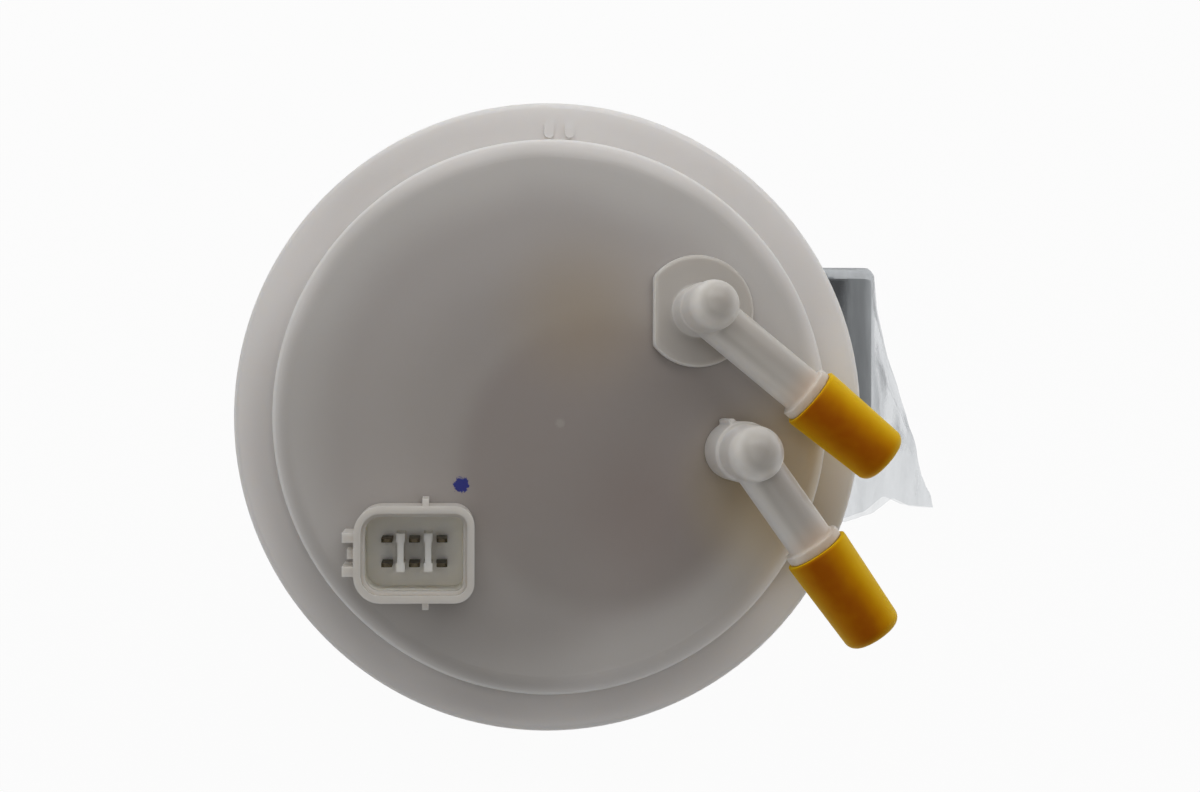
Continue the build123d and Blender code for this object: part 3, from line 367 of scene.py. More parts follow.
def distance_from(tree, place, axes=(1, 1, 0)):
    """Distance in mm from a place in mm, measured along the axes marked 1."""
    here = add_node(tree, "ShaderNodeTexCoord").outputs["Object"]
    offset = arrows(tree, "ADD", here, tuple(-side * MM for side in place))
    flat = arrows(tree, "MULTIPLY", offset, tuple(axis / MM for axis in axes))
    return add_node(tree, "ShaderNodeVectorMath", {0: flat}, operation="LENGTH").outputs["Value"]


def blotch(tree, colour, x, y, reach, tint, depth, even=0.0, wander=0.0):
    """Another colour round a place in mm: full up to the even share of its reach, then fading."""
    distance = distance_from(tree, (x, y, 0))
    if wander:
        uneven = spread(tree, grain(tree, reach / 3, detail=3.0), -wander * reach, wander * reach)
        distance = arithmetic(tree, "ADD", distance, uneven)
    share = arithmetic(tree, "DIVIDE", distance, reach)
    near = ramp(tree, share, [(0.0, depth), (even, depth), (1.0, 0.0)], "EASE")
    return mix_colours(tree, near, colour, tint)


def within(tree, centre, half):
    """1 inside a box given in mm by its centre and half sides, 0 outside."""
    offset = arrows(tree, "SUBTRACT", millimetres(tree), centre)
    offset = add_node(tree, "ShaderNodeVectorMath", {0: offset}, operation="ABSOLUTE").outputs[0]
    sides = add_node(tree, "ShaderNodeSeparateXYZ", {0: arrows(tree, "DIVIDE", offset, half)}).outputs
    outward = arithmetic(tree, "MAXIMUM", sides["X"], sides["Y"])
    outward = arithmetic(tree, "MAXIMUM", outward, sides["Z"])
    return arithmetic(tree, "LESS_THAN", outward, 1.0)


print("tone tools ready")

# %% [markdown]
# ## Painted shade and light on the flange
# The disc is thin, so the dark springs, pump and wires below shade it, and light comes
# through its thin rim. Both are painted into its colour: painted shade makes it grey in
# the middle, and painted light makes it nearly white at its rim. The rows below are
# painted spots on that, mostly grey and warm painted shade and one warm painted light.
# They hold for the disc only, since the spigot wall under it is deeper. A painted
# highlight marks the disc's stepped edge, the thin connector shroud and the well inside
# it get painted light, and a faint gate mark and a dot of blue ink, as an inspector
# leaves it, finish the face.

# %% Flange tones
# painted shade from the centre out, where the parts below shade the disc, and painted light, nearly
# white, at the thin rim
SHADE_CENTRE_TO_LIT_RIM = [
    (0.0, "#aaa29d"), (0.30, "#aca5a0"), (0.62, "#b8b2ae"),
    (0.80, "#cbc7c3"), (0.88, "#dfdbd8"), (1.0, "#edeae8"),
]
# painted spots: shade of the parts below the disc, and one warm spot of light through it
# x, y, reach, tint, depth, even share
PAINTED_SHADE_AND_LIGHT_SPOTS = [
    (11, -10, 34, "#958a84", 0.50, 0.78), (6, 22, 23, "#b09c7e", 0.45, 0.0),
    (20, -19, 22, "#8f7d76", 0.35, 0.0), (47, -15, 24, "#cdb98e", 0.60, 0.2),
    (-10, -40, 26, "#a09b96", 0.45, 0.2), (-38, -34, 24, "#b4b1ad", 0.25, 0.2),
    (-38, 2, 26, "#b5afa9", 0.30, 0.3),
]
DISC_BOX = ((0, 0, 8.2), (200, 200, 6.0))
# a painted highlight along the disc's stepped edge
PAINTED_HIGHLIGHT_LINE = [(0.856, 0.0), (0.866, 0.8), (0.874, 0.8), (0.880, 0.0)]
PAINTED_HIGHLIGHT_TINT = "#fbfaf8"
GATE_MARK = (1.6, -1.3, 1.3, "#d6d1cc", 0.2, 0.3, 0.3)
INK_DOT = (-18.95, -14.2, 1.75, "#0a1a86", 1.0, 0.8, 0.6)
pins_low, pins_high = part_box("connector_terminals")
plug_x, plug_y = [side / 2 / MM for side in (pins_low + pins_high)[:2]]
# painted light in the thin connector shroud and in the well inside it
SHROUD_PAINTED_LIGHT = [
    ((plug_x, plug_y, 19.05), (16, 13, 7), "#dad5ce"),
    ((plug_x, plug_y, 10), (10.2, 7.8, 10), "#faf4ea"),
]


def share_of_rim(tree, radius):
    return arithmetic(tree, "DIVIDE", radius, flange_high.x / MM)


def flange_acetal():
    material, tree, shader = acetal_base("natural_acetal_flange", roughness=0.42)
    radius = distance_from(tree, (0, 0, 0))
    wander = spread(tree, grain(tree, 38.0, detail=1.0), -5.0, 5.0)
    uneven = arithmetic(tree, "ADD", radius, wander)
    # painted shade and light from the centre out; the spots and marks below are laid over it
    plain = behind = ramp(tree, share_of_rim(tree, uneven), SHADE_CENTRE_TO_LIT_RIM, "EASE")
    # each row paints a soft spot of shade or of light on the disc
    for tone in PAINTED_SHADE_AND_LIGHT_SPOTS:
        behind = blotch(tree, behind, *tone)
    behind = mix_colours(tree, within(tree, *DISC_BOX), plain, behind)
    # painted highlight on the disc's edge
    edge = ramp(tree, share_of_rim(tree, radius), PAINTED_HIGHLIGHT_LINE)
    behind = mix_colours(tree, edge, behind, PAINTED_HIGHLIGHT_TINT)
    # painted light in the shroud and its well
    for centre, half, tint in SHROUD_PAINTED_LIGHT:
        behind = mix_colours(tree, within(tree, centre, half), behind, tint)
    for mark in (GATE_MARK, INK_DOT):
        behind = blotch(tree, behind, *mark)
    colour_from(tree, shader, behind)
    return material


FLANGE_ACETAL = flange_acetal()
print("flange finish:", FLANGE_ACETAL.name, "with", len(PAINTED_SHADE_AND_LIGHT_SPOTS), "tones behind the disc")

# %% [markdown]
# ## Painted shade on the port pipes
# A pipe's wall is thick to look through in the middle of its width and thin at its
# sides, which let more light through. That is painted into its colour by the way it
# faces: painted shade, darkest where it faces up, and painted light, nearly white at its
# edges. Next to each cap it takes a little of the vinyl's warm colour.

# %% Port tones
# painted shade and light by facing: nearly white side on, darker where the pipe faces up
PIPE_PAINTED_SHADE = [(0.0, "#f3f0ec"), (0.45, "#e6e2dc"), (0.8, "#cac5be"), (1.0, "#bcb6af")]
PIPE_SHADE_UP = (0.25, 0.25, 1)
# x, y, reach, tint, depth, even share
PORT_COLLARS = [(53.5, 2.5, 10, "#e8caac", 0.50, 0.35), (53.0, -28.0, 10, "#e8caac", 0.50, 0.35)]


def port_acetal():
    material, tree, shader = acetal_base("natural_acetal_ports", roughness=0.30)
    # painted shade by the way the surface faces
    facing_shade = ramp(tree, facing(tree, PIPE_SHADE_UP), PIPE_PAINTED_SHADE, "EASE")
    for collar in PORT_COLLARS:
        facing_shade = blotch(tree, facing_shade, *collar)
    colour_from(tree, shader, facing_shade)
    return material


PORT_ACETAL = port_acetal()
print("port finish:", PORT_ACETAL.name)

# %% [markdown]
# ## Vinyl, foam, rubber and dark plastics
# The port caps are dip-moulded vinyl: a bright amber yellow, soft satin, with a faint
# mottling from the dip. Painted shade makes a cap deeper amber where it faces up, and
# painted light makes it yellow at its sides, where light comes through one wall only.
# The float is a closed-cell nitrile foam, nearly black and dull, with pores a few tenths
# of a millimetre wide, drawn here at 0.6 mm so that they show. The black pieces differ a
# little in tone and gloss.

# %% Vinyl, foam and dark plastics
# painted shade and light: yellow where a cap faces side on, deep amber where it faces up
VINYL_PAINTED_SHADE = [
    (0.0, "#f4c91a"), (0.35, "#eebd10"), (0.62, "#dca204"), (0.85, "#c67e02"), (1.0, "#aa5a00"),
]
VINYL_SHADE_UP, VINYL_MOTTLE = (-0.28, -0.22, 1), 0.08
FOAM_PORE = 0.6


def dipped_vinyl():
    material, tree, shader = start_material(
        "dipped_yellow_vinyl", Roughness=0.5, IOR=1.45, Specular_IOR_Level=0.08,
        Subsurface_Weight=0.10, Subsurface_Radius=(1.0, 0.6, 0.1), Subsurface_Scale=1.0 * MM,
    )
    mottle = spread(tree, grain(tree, 5.0, detail=2.0), -VINYL_MOTTLE, VINYL_MOTTLE)
    # painted shade by facing, with the dip's real mottling
    facing_shade = arithmetic(tree, "ADD", facing(tree, VINYL_SHADE_UP), mottle)
    colour_from(tree, shader, ramp(tree, facing_shade, VINYL_PAINTED_SHADE))
    raise_surface(tree, shader, grain(tree, 1.2, detail=1.0), 0.02)
    return material


def nitrile_foam():
    material, tree, shader = start_material("nitrile_float_foam", Roughness=0.72, IOR=1.5)
    pores = add_node(tree, "ShaderNodeTexVoronoi", {"Vector": millimetres(tree), "Scale": 1 / FOAM_PORE})
    colour_from(tree, shader, ramp(tree, grain(tree, 6.0), [(0.3, "#1d1e21"), (0.7, "#2a2b2f")]))
    raise_surface(tree, shader, pores.outputs["Distance"], 0.06, 0.6)
    return material


def moulded_black(name, dark="#151517", light="#202023", roughness=0.45):
    material, tree, shader = start_material(name, Roughness=roughness, IOR=1.55)
    colour_from(tree, shader, ramp(tree, grain(tree, 9.0), [(0.3, dark), (0.7, light)]))
    raise_surface(tree, shader, grain(tree, 0.35, detail=1.0), 0.02)
    return material


VINYL = dipped_vinyl()
FOAM = nitrile_foam()
PBT_BLACK = moulded_black("moulded_black_pbt")
HOSE_BLACK = moulded_black("extruded_black_nylon", "#101113", "#1a1b1e", 0.34)
RUBBER = moulded_black("moulded_nitrile_rubber", "#161616", "#1e1e1e", 0.68)
FERRITE = moulded_black("sintered_ferrite", "#202124", "#2d2e31", 0.6)
PHENOLIC = moulded_black("phenolic_impeller", "#3a2010", "#4d2c17", 0.4)
print("vinyl, foam and", len([PBT_BLACK, HOSE_BLACK, RUBBER, FERRITE, PHENOLIC]), "dark finishes")

# %% [markdown]
# ## Nylon, wires, filter cloth and the printed card
# The return tube is natural nylon and the wires are coloured; both are extruded, so their
# lines run lengthwise. The strainer is a plain weave: two waves at right angles,
# multiplied, give its threads. The sender's card is white ceramic with two printed arcs
# round the float arm's pivot, a dark one of resistor paste and a paler conductor.

# %% Nylon, wires, cloth and card
WEAVE_PITCH = 0.329
WAVES_PER_UNIT = 20 / (2 * math.pi)
CARD_PIVOT, CARD_REACH = (4, 0, -128), 24.0
# share of the reach, colour
CARD_ARCS = [
    (0.0, "#e4e2da"), (0.50, "#e4e2da"), (0.505, "#26282b"), (0.68, "#26282b"),
    (0.685, "#b9b6a8"), (0.74, "#b9b6a8"), (0.745, "#e4e2da"),
]


def extruded_nylon():
    material, tree, shader = start_material(
        "extruded_natural_nylon", Roughness=0.3, IOR=1.53, Subsurface_Weight=0.3,
        Subsurface_Radius=(1.0, 0.9, 0.7), Subsurface_Scale=1.5 * MM,
    )
    lines = grain(tree, 9.0, (1, 1, 8))
    colour_from(tree, shader, ramp(tree, lines, [(0.3, "#c9c3b2"), (0.7, "#d8d3c4")]))
    raise_surface(tree, shader, grain(tree, 0.8, (1, 1, 10)), 0.01)
    return material


def wire_insulation(name, dark, light):
    material, tree, shader = start_material(name, Roughness=0.35, IOR=1.5)
    colour_from(tree, shader, ramp(tree, grain(tree, 2.0, (1, 1, 6)), [(0.3, dark), (0.7, light)]))
    raise_surface(tree, shader, grain(tree, 0.4, (1, 1, 8)), 0.01)
    return material


def woven_filter_mesh():
    material, tree, shader = start_material(
        "woven_nylon_filter", Roughness=0.62, IOR=1.53, Sheen_Weight=0.25,
    )
    place = millimetres(tree)
    threads = [
        add_node(tree, "ShaderNodeTexWave", {"Vector": place, "Scale": 1 / WEAVE_PITCH / WAVES_PER_UNIT},
                 bands_direction=direction, wave_profile="SIN").outputs["Fac"]
        for direction in ("X", "Y")
    ]
    weave = arithmetic(tree, "MULTIPLY", *threads)
    colour_from(tree, shader, ramp(tree, weave, [(0.05, "#8e8c80"), (0.6, "#d3d1c6")]))
    raise_surface(tree, shader, weave, 0.08, 0.8)
    return material


def fired_ceramic_card():
    material, tree, shader = start_material("printed_ceramic_card", Roughness=0.28, IOR=1.6)
    share = arithmetic(tree, "DIVIDE", distance_from(tree, CARD_PIVOT, (1, 0, 1)), CARD_REACH)
    colour_from(tree, shader, ramp(tree, share, CARD_ARCS))
    raise_surface(tree, shader, grain(tree, 0.6), 0.01)
    return material


NYLON_NATURAL = extruded_nylon()
INSULATION_RED = wire_insulation("red_wire_insulation", "#8e1512", "#a81d18")
INSULATION_BLACK = wire_insulation("black_wire_insulation", "#141416", "#202124")
INSULATION_VIOLET = wire_insulation("violet_wire_insulation", "#4a2a66", "#5b3679")
INSULATION_GREY = wire_insulation("grey_wire_insulation", "#6d6f72", "#7f8184")
FILTER_MESH = woven_filter_mesh()
CERAMIC = fired_ceramic_card()
print("nylon, wires, cloth with a", WEAVE_PITCH, "mm weave, and card")

# %% [markdown]
# ## Clear film
# The float's bag is thin polythene: clear, faintly blue-grey, with long soft folds. Only
# a share of it shows as a surface and the rest lets everything through. That haze is
# stronger in the folds and where it is gathered past the float's far end, and weaker
# over the float's inner half. Over its outer half more haze is painted in, as a painted
# highlight.

# %% Clear film
FILM_HAZE = [(0.35, 0.14), (0.52, 0.18), (0.66, 0.26), (0.74, 0.40)]
FOLD_SIZE, FOLD_DEPTH, FOLD_STRENGTH = 5.0, 0.5, 0.45
# painted highlight: more haze over the float's outer half
# share of the float's width, haze added or taken away
OUTER_PAINTED_HIGHLIGHT = [(0.54, 0.0), (0.68, 0.20), (0.84, 0.30), (0.92, 0.48), (0.95, 0.40), (0.99, 0.0)]
INNER_CLEAR = [(0.50, 0.50), (0.66, 0.0)]
PAST_SIDE, SHARE_WANDER = 2, 0.14
NEAR_END, FAR_END = (-6, 2), (-1, 1.5)
GATHERED_HAZE = 0.45


def haze_with_painted_highlight(tree, haze):
    """Clearer film over the float's inner half, and more haze further out as a painted highlight."""
    place = add_node(tree, "ShaderNodeSeparateXYZ", {0: millimetres(tree)}).outputs
    foam_low, foam_high = [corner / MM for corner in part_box("float")]
    wander = spread(tree, grain(tree, 6.0, (1, 6, 1), detail=3.0), -SHARE_WANDER, SHARE_WANDER)
    across = spread(tree, place["X"], 0.0, 1.0, foam_low.x, foam_high.x + PAST_SIDE)
    across = arithmetic(tree, "ADD", across, wander)
    along = spread(tree, place["Y"], 0.0, 1.0, *[foam_low.y + past for past in NEAR_END])
    # painted highlight as extra haze over the float's outer half
    painted_highlight_haze = arithmetic(tree, "MULTIPLY", ramp(tree, across, OUTER_PAINTED_HIGHLIGHT), along)
    clearer = arithmetic(tree, "MULTIPLY", ramp(tree, across, INNER_CLEAR), along)
    haze = arithmetic(tree, "MULTIPLY", haze, arithmetic(tree, "SUBTRACT", 1.0, clearer))
    gathered = spread(tree, place["Y"], 0.0, GATHERED_HAZE, *[foam_high.y + past for past in FAR_END])
    return arithmetic(tree, "ADD", haze, arithmetic(tree, "MAXIMUM", painted_highlight_haze, gathered))


def clear_film():
    material, tree, shader = start_material(
        "clear_polythene_film", Base_Color=linear("#e8edf1"), Roughness=0.22, IOR=1.5,
    )
    folds = grain(tree, FOLD_SIZE, (1, 7, 1), detail=4.0)
    raise_surface(tree, shader, folds, FOLD_DEPTH, FOLD_STRENGTH)
    clear = add_node(tree, "ShaderNodeBsdfTransparent", {"Color": linear("#f8f9fa")})
    haze = haze_with_painted_highlight(tree, ramp(tree, folds, FILM_HAZE))
    film = add_node(tree, "ShaderNodeMixShader", {0: haze, 1: clear.outputs[0], 2: shader.outputs[0]})
    show(tree, film)
    return material


BAG_FILM = clear_film()
print("film finish:", BAG_FILM.name)

# %% [markdown]
# ## Metals
# Zinc-plated steel rods and can, drawn spring wire, dull tinned brass pins and a
# stainless float arm. A metal's colour is its reflection, so most base colours are pale,
# roughness follows how the piece was made, and drawing lines run along its length.

# %% Metals
SMOOTHER, ROUGHER = 0.06, 0.1


def metal(name, dark, light, roughness, stretch=(1, 1, 1), line_size=1.2, depth=0.01):
    material, tree, shader = start_material(name, Metallic=1.0)
    lines = grain(tree, line_size, stretch, detail=4.0)
    colour_from(tree, shader, ramp(tree, lines, [(0.3, dark), (0.7, light)]))
    polish = spread(tree, lines, roughness - SMOOTHER, roughness + ROUGHER)
    tree.links.new(polish, shader.inputs["Roughness"])
    raise_surface(tree, shader, lines, depth)
    return material


ZINC_STEEL = metal("zinc_plated_steel", "#a9adb0", "#c4c8ca", 0.26, (1, 1, 12))
SPRING_STEEL = metal("drawn_spring_steel", "#7d8084", "#9a9da1", 0.30)
STAINLESS = metal("drawn_stainless_wire", "#9b9c9e", "#bbbcbe", 0.24, (6, 6, 1))
TINNED_BRASS = metal("tin_plated_brass", "#453e32", "#6b6251", 0.5, line_size=0.6)
CAST_ALUMINIUM = metal("die_cast_aluminium", "#a7a9ab", "#bfc1c3", 0.42, line_size=0.8, depth=0.03)
LAMINATIONS = metal("stacked_steel_laminations", "#55524f", "#6d6966", 0.45, (30, 30, 0.6), 0.6, 0.05)
CONTACT_ALLOY = metal("stamped_contact_alloy", "#b3824a", "#cf9d5e", 0.28)
print("metals ready")

# %% [markdown]
# ## Hand the finishes to the hard pieces
# Every hard piece keeps its shape from the frame and only takes its finish here. The
# list is read like a parts bill: finish first, then the pieces made of it.


# %% Dress the hard pieces
def dress(finish, *names):
    for name in names:
        mesh = frame["nodes"][name].data
        mesh.materials.clear()
        mesh.materials.append(finish)


dress(FLANGE_ACETAL, "flange_lid")
dress(PORT_ACETAL, "supply_elbow", "return_elbow")
dress(POT_ACETAL, "reservoir_cup", "reservoir_cover", "jet_nozzle", "strainer_collar", "sender_housing")
dress(TINNED_BRASS, "connector_terminals", "sender_terminals")
dress(ZINC_STEEL, "guide_rods", "pump_can")
dress(SPRING_STEEL, "rod_clips", "float_clip", "spring_a", "spring_b")
dress(STAINLESS, "hose_clamp_top", "hose_clamp_bottom", "arm_wire")
dress(CAST_ALUMINIUM, "pump_inlet_cover", "pump_body_plate")
dress(PBT_BLACK, "pump_outlet_cover", "inner_plug", "pump_plug", "jet_pump", "arm_hub", "pump_brushes")
dress(RUBBER, "umbrella_valve", "pump_mount_bottom", "pump_mount_top")
dress(FERRITE, "pump_magnets")
dress(PHENOLIC, "impeller")
dress(LAMINATIONS, "armature")
dress(CONTACT_ALLOY, "wiper")
dress(CERAMIC, "sender_card")
dress(FOAM, "float")
print("dressed", len(frame["nodes"]), "pieces")

# %% [markdown]
# ## Tools for pieces made here
# Flexible and soft pieces are built as meshes. A tube or wire is a ring of points
# carried along a smooth line; the line is a clamped cubic B-spline, because a hose or
# a wire held at both ends takes one smooth curve. A piece rides on its body, or, for the
# hoses and wires, stays where it is built, and stands for the plain solid it covers.


# %% Piece tools
def add_piece(name, vertices, faces, finish):
    mesh = bpy.data.meshes.new(name)
    mesh.from_pydata([tuple(vertex) for vertex in vertices], [], faces)
    mesh.materials.append(finish)
    mesh.polygons.foreach_set("use_smooth", [True] * len(mesh.polygons))
    piece = bpy.data.objects.new(name, mesh)
    scene.collection.objects.link(piece)
    return piece


def ring_faces(rings, sides):
    """Faces between neighbouring rings of points, with the first and the last ring closed."""
    faces = []
    for ring in range(rings - 1):
        for side in range(sides):
            a, b = ring * sides + side, ring * sides + (side + 1) % sides
            faces.append((a, b, b + sides, a + sides))
    faces.append(tuple(reversed(range(sides))))
    faces.append(tuple(range((rings - 1) * sides, rings * sides)))
    return faces


def smooth_line(route, count):
    """Points on the clamped cubic B-spline of a route, in metres."""
    control = [Vector(point) * MM for point in route]
    inner = len(control) - 3
    knots = [0.0] * 3 + [step / inner for step in range(inner + 1)] + [1.0] * 3
    line = []
    for step in range(count):
        t = min(step / (count - 1), 1 - 1e-9)
        span = 3 + int(t * inner)
        local = [control[span - 3 + k].copy() for k in range(4)]
        for level in (1, 2, 3):
            for k in range(3, level - 1, -1):
                low = knots[span - 3 + k]
                share = (t - low) / (knots[span + 1 + k - level] - low)
                local[k] = local[k - 1].lerp(local[k], share)
        line.append(local[3])
    return line


def carry_ring(line, radius, sides):
    """Rings of points along a line; radius is a number in mm or a function of length."""
    side_way = (line[1] - line[0]).orthogonal().normalized()
    vertices, run = [], 0.0
    for index, point in enumerate(line):
        ahead = line[min(index + 1, len(line) - 1)] - line[max(index - 1, 0)]
        ahead.normalize()
        side_way = (side_way - side_way.dot(ahead) * ahead).normalized()
        up_way = ahead.cross(side_way)
        if index:
            run += (point - line[index - 1]).length / MM
        reach = (radius(run) if callable(radius) else radius) * MM
        for side in range(sides):
            turn = 2 * math.pi * side / sides
            vertices.append(point + reach * (math.cos(turn) * side_way + math.sin(turn) * up_way))
    return vertices


def middle_of(node):
    low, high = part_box(node)
    return (low + high) / 2


print("piece tools ready")

# %% [markdown]
# ## The two elbow ports
# Each port is one moulding, so where the pipe meets the neck and the neck meets its base
# there are small blends instead of sharp lines. The plain solid has the right sizes but
# sharp joins. Its skin is remade from small voxels and relaxed a little, which rounds
# every inside and outside corner by about half a millimetre, as a mould does.

# %% Moulded elbows
VOXEL, RELAX_SHARE, RELAX_TIMES = 0.30, 0.5, 7


def moulded_copy(node, finish, body):
    source = frame["nodes"][node]
    piece = bpy.data.objects.new("moulded_" + node, source.data.copy())
    scene.collection.objects.link(piece)
    remake = piece.modifiers.new("even skin", "REMESH")
    remake.mode = "VOXEL"
    remake.voxel_size = VOXEL * MM
    relax = piece.modifiers.new("relax", "SMOOTH")
    relax.factor = RELAX_SHARE
    relax.iterations = RELAX_TIMES
    bpy.context.view_layer.update()
    skin = piece.evaluated_get(bpy.context.evaluated_depsgraph_get())
    result = bpy.data.meshes.new_from_object(skin)
    piece.modifiers.clear()
    piece.data = result
    result.materials.clear()
    result.materials.append(finish)
    result.polygons.foreach_set("use_smooth", [True] * len(result.polygons))
    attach(piece, body)
    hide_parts(node)
    return piece


for port in ("supply_elbow", "return_elbow"):
    elbow = moulded_copy(port, PORT_ACETAL, "flange")
    print(elbow.name, len(elbow.data.polygons), "faces")

# %% [markdown]
# ## Vinyl caps
# A shipping cap is made by dipping a warm pin in liquid vinyl. It is a little wider at
# its mouth, its closed end is rounded, the wall is about a millimetre thick, and the
# mouth is trimmed, so its lip has a small soft edge. The cap is a profile carried round
# the axis of its port, which is the way the cap's own joint slides.

# %% Caps
CAP_MOUTH, CAP_END, CAP_BORE = 6.6, 6.0, 5.2
CAP_END_WALL, CAP_ROUND, CAP_LIP, LIP_TOP = 1.6, 2.2, 0.22, 0.45
CAP_SIDES, CAP_OVAL = 96, 0.004
WALL_STEPS, ROUND_STEPS = 12, 8


def cap_profile(length):
    """Inside of the end, down the bore, round the lip, up the wall and over the dimpled end."""
    straight = length - CAP_ROUND
    profile = [(0.4, length - CAP_END_WALL), (CAP_BORE, length - CAP_END_WALL), (CAP_BORE, 0.25)]
    profile += [(CAP_BORE + 0.25, -CAP_LIP), (CAP_MOUTH - 0.22, -CAP_LIP)]
    profile += [(CAP_MOUTH - 0.04, 0.12 - CAP_LIP), (CAP_MOUTH, LIP_TOP)]
    for step in range(1, WALL_STEPS + 1):
        profile.append((CAP_MOUTH + (CAP_END - CAP_MOUTH) * step / WALL_STEPS,
                        LIP_TOP + (straight - LIP_TOP) * step / WALL_STEPS))
    for step in range(1, ROUND_STEPS + 1):
        turn = math.pi / 2 * step / ROUND_STEPS
        profile.append((CAP_END - CAP_ROUND * (1 - math.cos(turn)),
                        straight + CAP_ROUND * math.sin(turn)))
    return profile + [(2.4, length - 0.04), (1.6, length - 0.16), (0.4, length - 0.2)]


def turned(profile, base, axis):
    """A closed profile of (radius, distance along) in mm, carried round an axis, a little oval."""
    axis = axis.normalized()
    side_way = axis.orthogonal().normalized()
    up_way = axis.cross(side_way)
    vertices = []
    for radius, along in profile:
        for side in range(CAP_SIDES):
            turn = 2 * math.pi * side / CAP_SIDES
            reach = radius * MM * (1 + CAP_OVAL * math.cos(2 * turn))
            vertices.append(base + along * MM * axis
                            + reach * (math.cos(turn) * side_way + math.sin(turn) * up_way))
    return vertices


def make_cap(node, joint_name, body):
    joint = next(row for row in frame["record"]["behaviour"]["joints"] if row["name"] == joint_name)
    axis = Vector(joint["axis"]).normalized()
    side_way = Vector((-axis.y, axis.x, 0))
    corners = [vertex.co for vertex in frame["nodes"][node].data.vertices]
    reach = [corner.dot(axis) / MM for corner in corners]
    sides = [corner.dot(side_way) for corner in corners]
    mouth, length = min(reach), max(reach) - min(reach)
    centre_side = (min(sides) + max(sides)) / 2
    base = axis * mouth * MM + side_way * centre_side + Vector((0, 0, middle_of(node).z))
    profile = cap_profile(length)
    cap = add_piece("dipped_" + node, turned(profile, base, axis),
                    ring_faces(len(profile), CAP_SIDES), VINYL)
    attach(cap, body)
    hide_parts(node)
    print(cap.name, "is", round(length, 1), "mm long")


make_cap("supply_cap", "supply_cap_pull", "supply_shipping_cap")
make_cap("return_cap", "return_cap_pull", "return_shipping_cap")

# %% [markdown]
# ## Height springs
# The two springs push the pot down against the tank's floor. A real compression spring
# has its last coils closed, so that it sits flat: the pitch goes from one wire's width
# at each end to the open pitch in between. Both springs ride on the flange.

# %% Springs
SPRING_WIRE, SPRING_TURNS, CLOSED_TURNS, CLOSED_PITCH = 0.62, 12.0, 1.25, 2.1
SAMPLES_PER_TURN, WIRE_SIDES = 40, 10


def spring_line(middle, coil_radius, bottom, top):
    """Closed coils at both ends, one wire's width apart, and even open coils in between."""
    closed_rise = CLOSED_TURNS * CLOSED_PITCH * SPRING_WIRE * MM
    line = []
    for step in range(int(SPRING_TURNS * SAMPLES_PER_TURN) + 1):
        turns = step / SAMPLES_PER_TURN
        if turns < CLOSED_TURNS:
            height = bottom + closed_rise * turns / CLOSED_TURNS
        elif turns > SPRING_TURNS - CLOSED_TURNS:
            height = top - closed_rise * (SPRING_TURNS - turns) / CLOSED_TURNS
        else:
            share = (turns - CLOSED_TURNS) / (SPRING_TURNS - 2 * CLOSED_TURNS)
            height = bottom + closed_rise + share * (top - bottom - 2 * closed_rise)
        turn = 2 * math.pi * turns
        line.append(Vector((middle.x + coil_radius * math.cos(turn),
                            middle.y + coil_radius * math.sin(turn), height)))
    return line


def make_spring(node):
    low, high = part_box(node)
    middle = (low + high) / 2
    wire = SPRING_WIRE * MM
    line = spring_line(middle, (high.x - low.x) / 2 - wire, low.z + wire, high.z - wire)
    spring = add_piece("coiled_" + node, carry_ring(line, SPRING_WIRE, WIRE_SIDES),
                       ring_faces(len(line), WIRE_SIDES), SPRING_STEEL)
    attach(spring, "flange")
    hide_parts(node)
    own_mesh(spring)


make_spring("spring_a")
make_spring("spring_b")

# %% [markdown]
# ## Fuel hoses
# The supply hose is black nylon with corrugations between two plain cuffs, so that it
# can bend as the pot slides. The return line is a plain natural nylon tube. Both run
# from a stub under the flange to a barb in the pot, straight over the barbs, and both
# stay where they are built.
# Routes are control points in mm, from the pot up to the flange.

# %% Hoses
HOSE_RADIUS, HOSE_CUFF, RIB_PITCH, RIB_RISE, RIB_ROOT = 5.0, 15.0, 3.2, 0.75, 0.55
TUBE_RADIUS, HOSE_SIDES = 4.0, 28
SUPPLY_ROUTE = [
    (-8, -4, -105.8), (-8, -4, -94), (-8, -4, -82), (-7, -3, -62), (29, 21, -48),
    (30.05, 22, -26), (30.05, 22, -10), (30.05, 22, 2),
]
RETURN_ROUTE = [
    (24, -12, -183.2), (24, -12, -168), (24, -12, -120), (24.5, -11.8, -78), (37.5, -7.2, -48),
    (37.9, -7, -28), (37.9, -7, -12), (37.9, -7, 2),
]


def corrugated(length):
    def radius(run):
        inside = min(run, length - run) - HOSE_CUFF
        if inside <= 0:
            return HOSE_RADIUS
        wave = 0.5 + 0.5 * math.cos(2 * math.pi * run / RIB_PITCH)
        return HOSE_RADIUS + min(inside / 2, 1) * (RIB_RISE * wave ** 0.6 - RIB_ROOT)
    return radius


def plain(length):
    """A tube keeps one radius, however long it is."""
    return TUBE_RADIUS


def line_length(line):
    return sum((b - a).length for a, b in zip(line, line[1:])) / MM


def make_hose(name, node, route, radius_of, count, finish):
    line = smooth_line(route, count)
    radius = radius_of(line_length(line))
    hose = add_piece(name, carry_ring(line, radius, HOSE_SIDES),
                     ring_faces(len(line), HOSE_SIDES), finish)
    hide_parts(node)
    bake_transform(hose)
    print(name, "length", round(line_length(line)), "mm")


make_hose("corrugated_supply_hose", "supply_hose", SUPPLY_ROUTE, corrugated, 420,
          HOSE_BLACK)
make_hose("plain_return_tube", "return_tube", RETURN_ROUTE, plain, 160,
          NYLON_NATURAL)

# %% [markdown]
# ## Wires
# Two pairs of insulated copper wires hang inside, one to the pump's plug and one to the
# level sender. They are loose, so each takes its own line, and both wires of a pair
# keep a small distance as two wires do that were pressed into one plug.

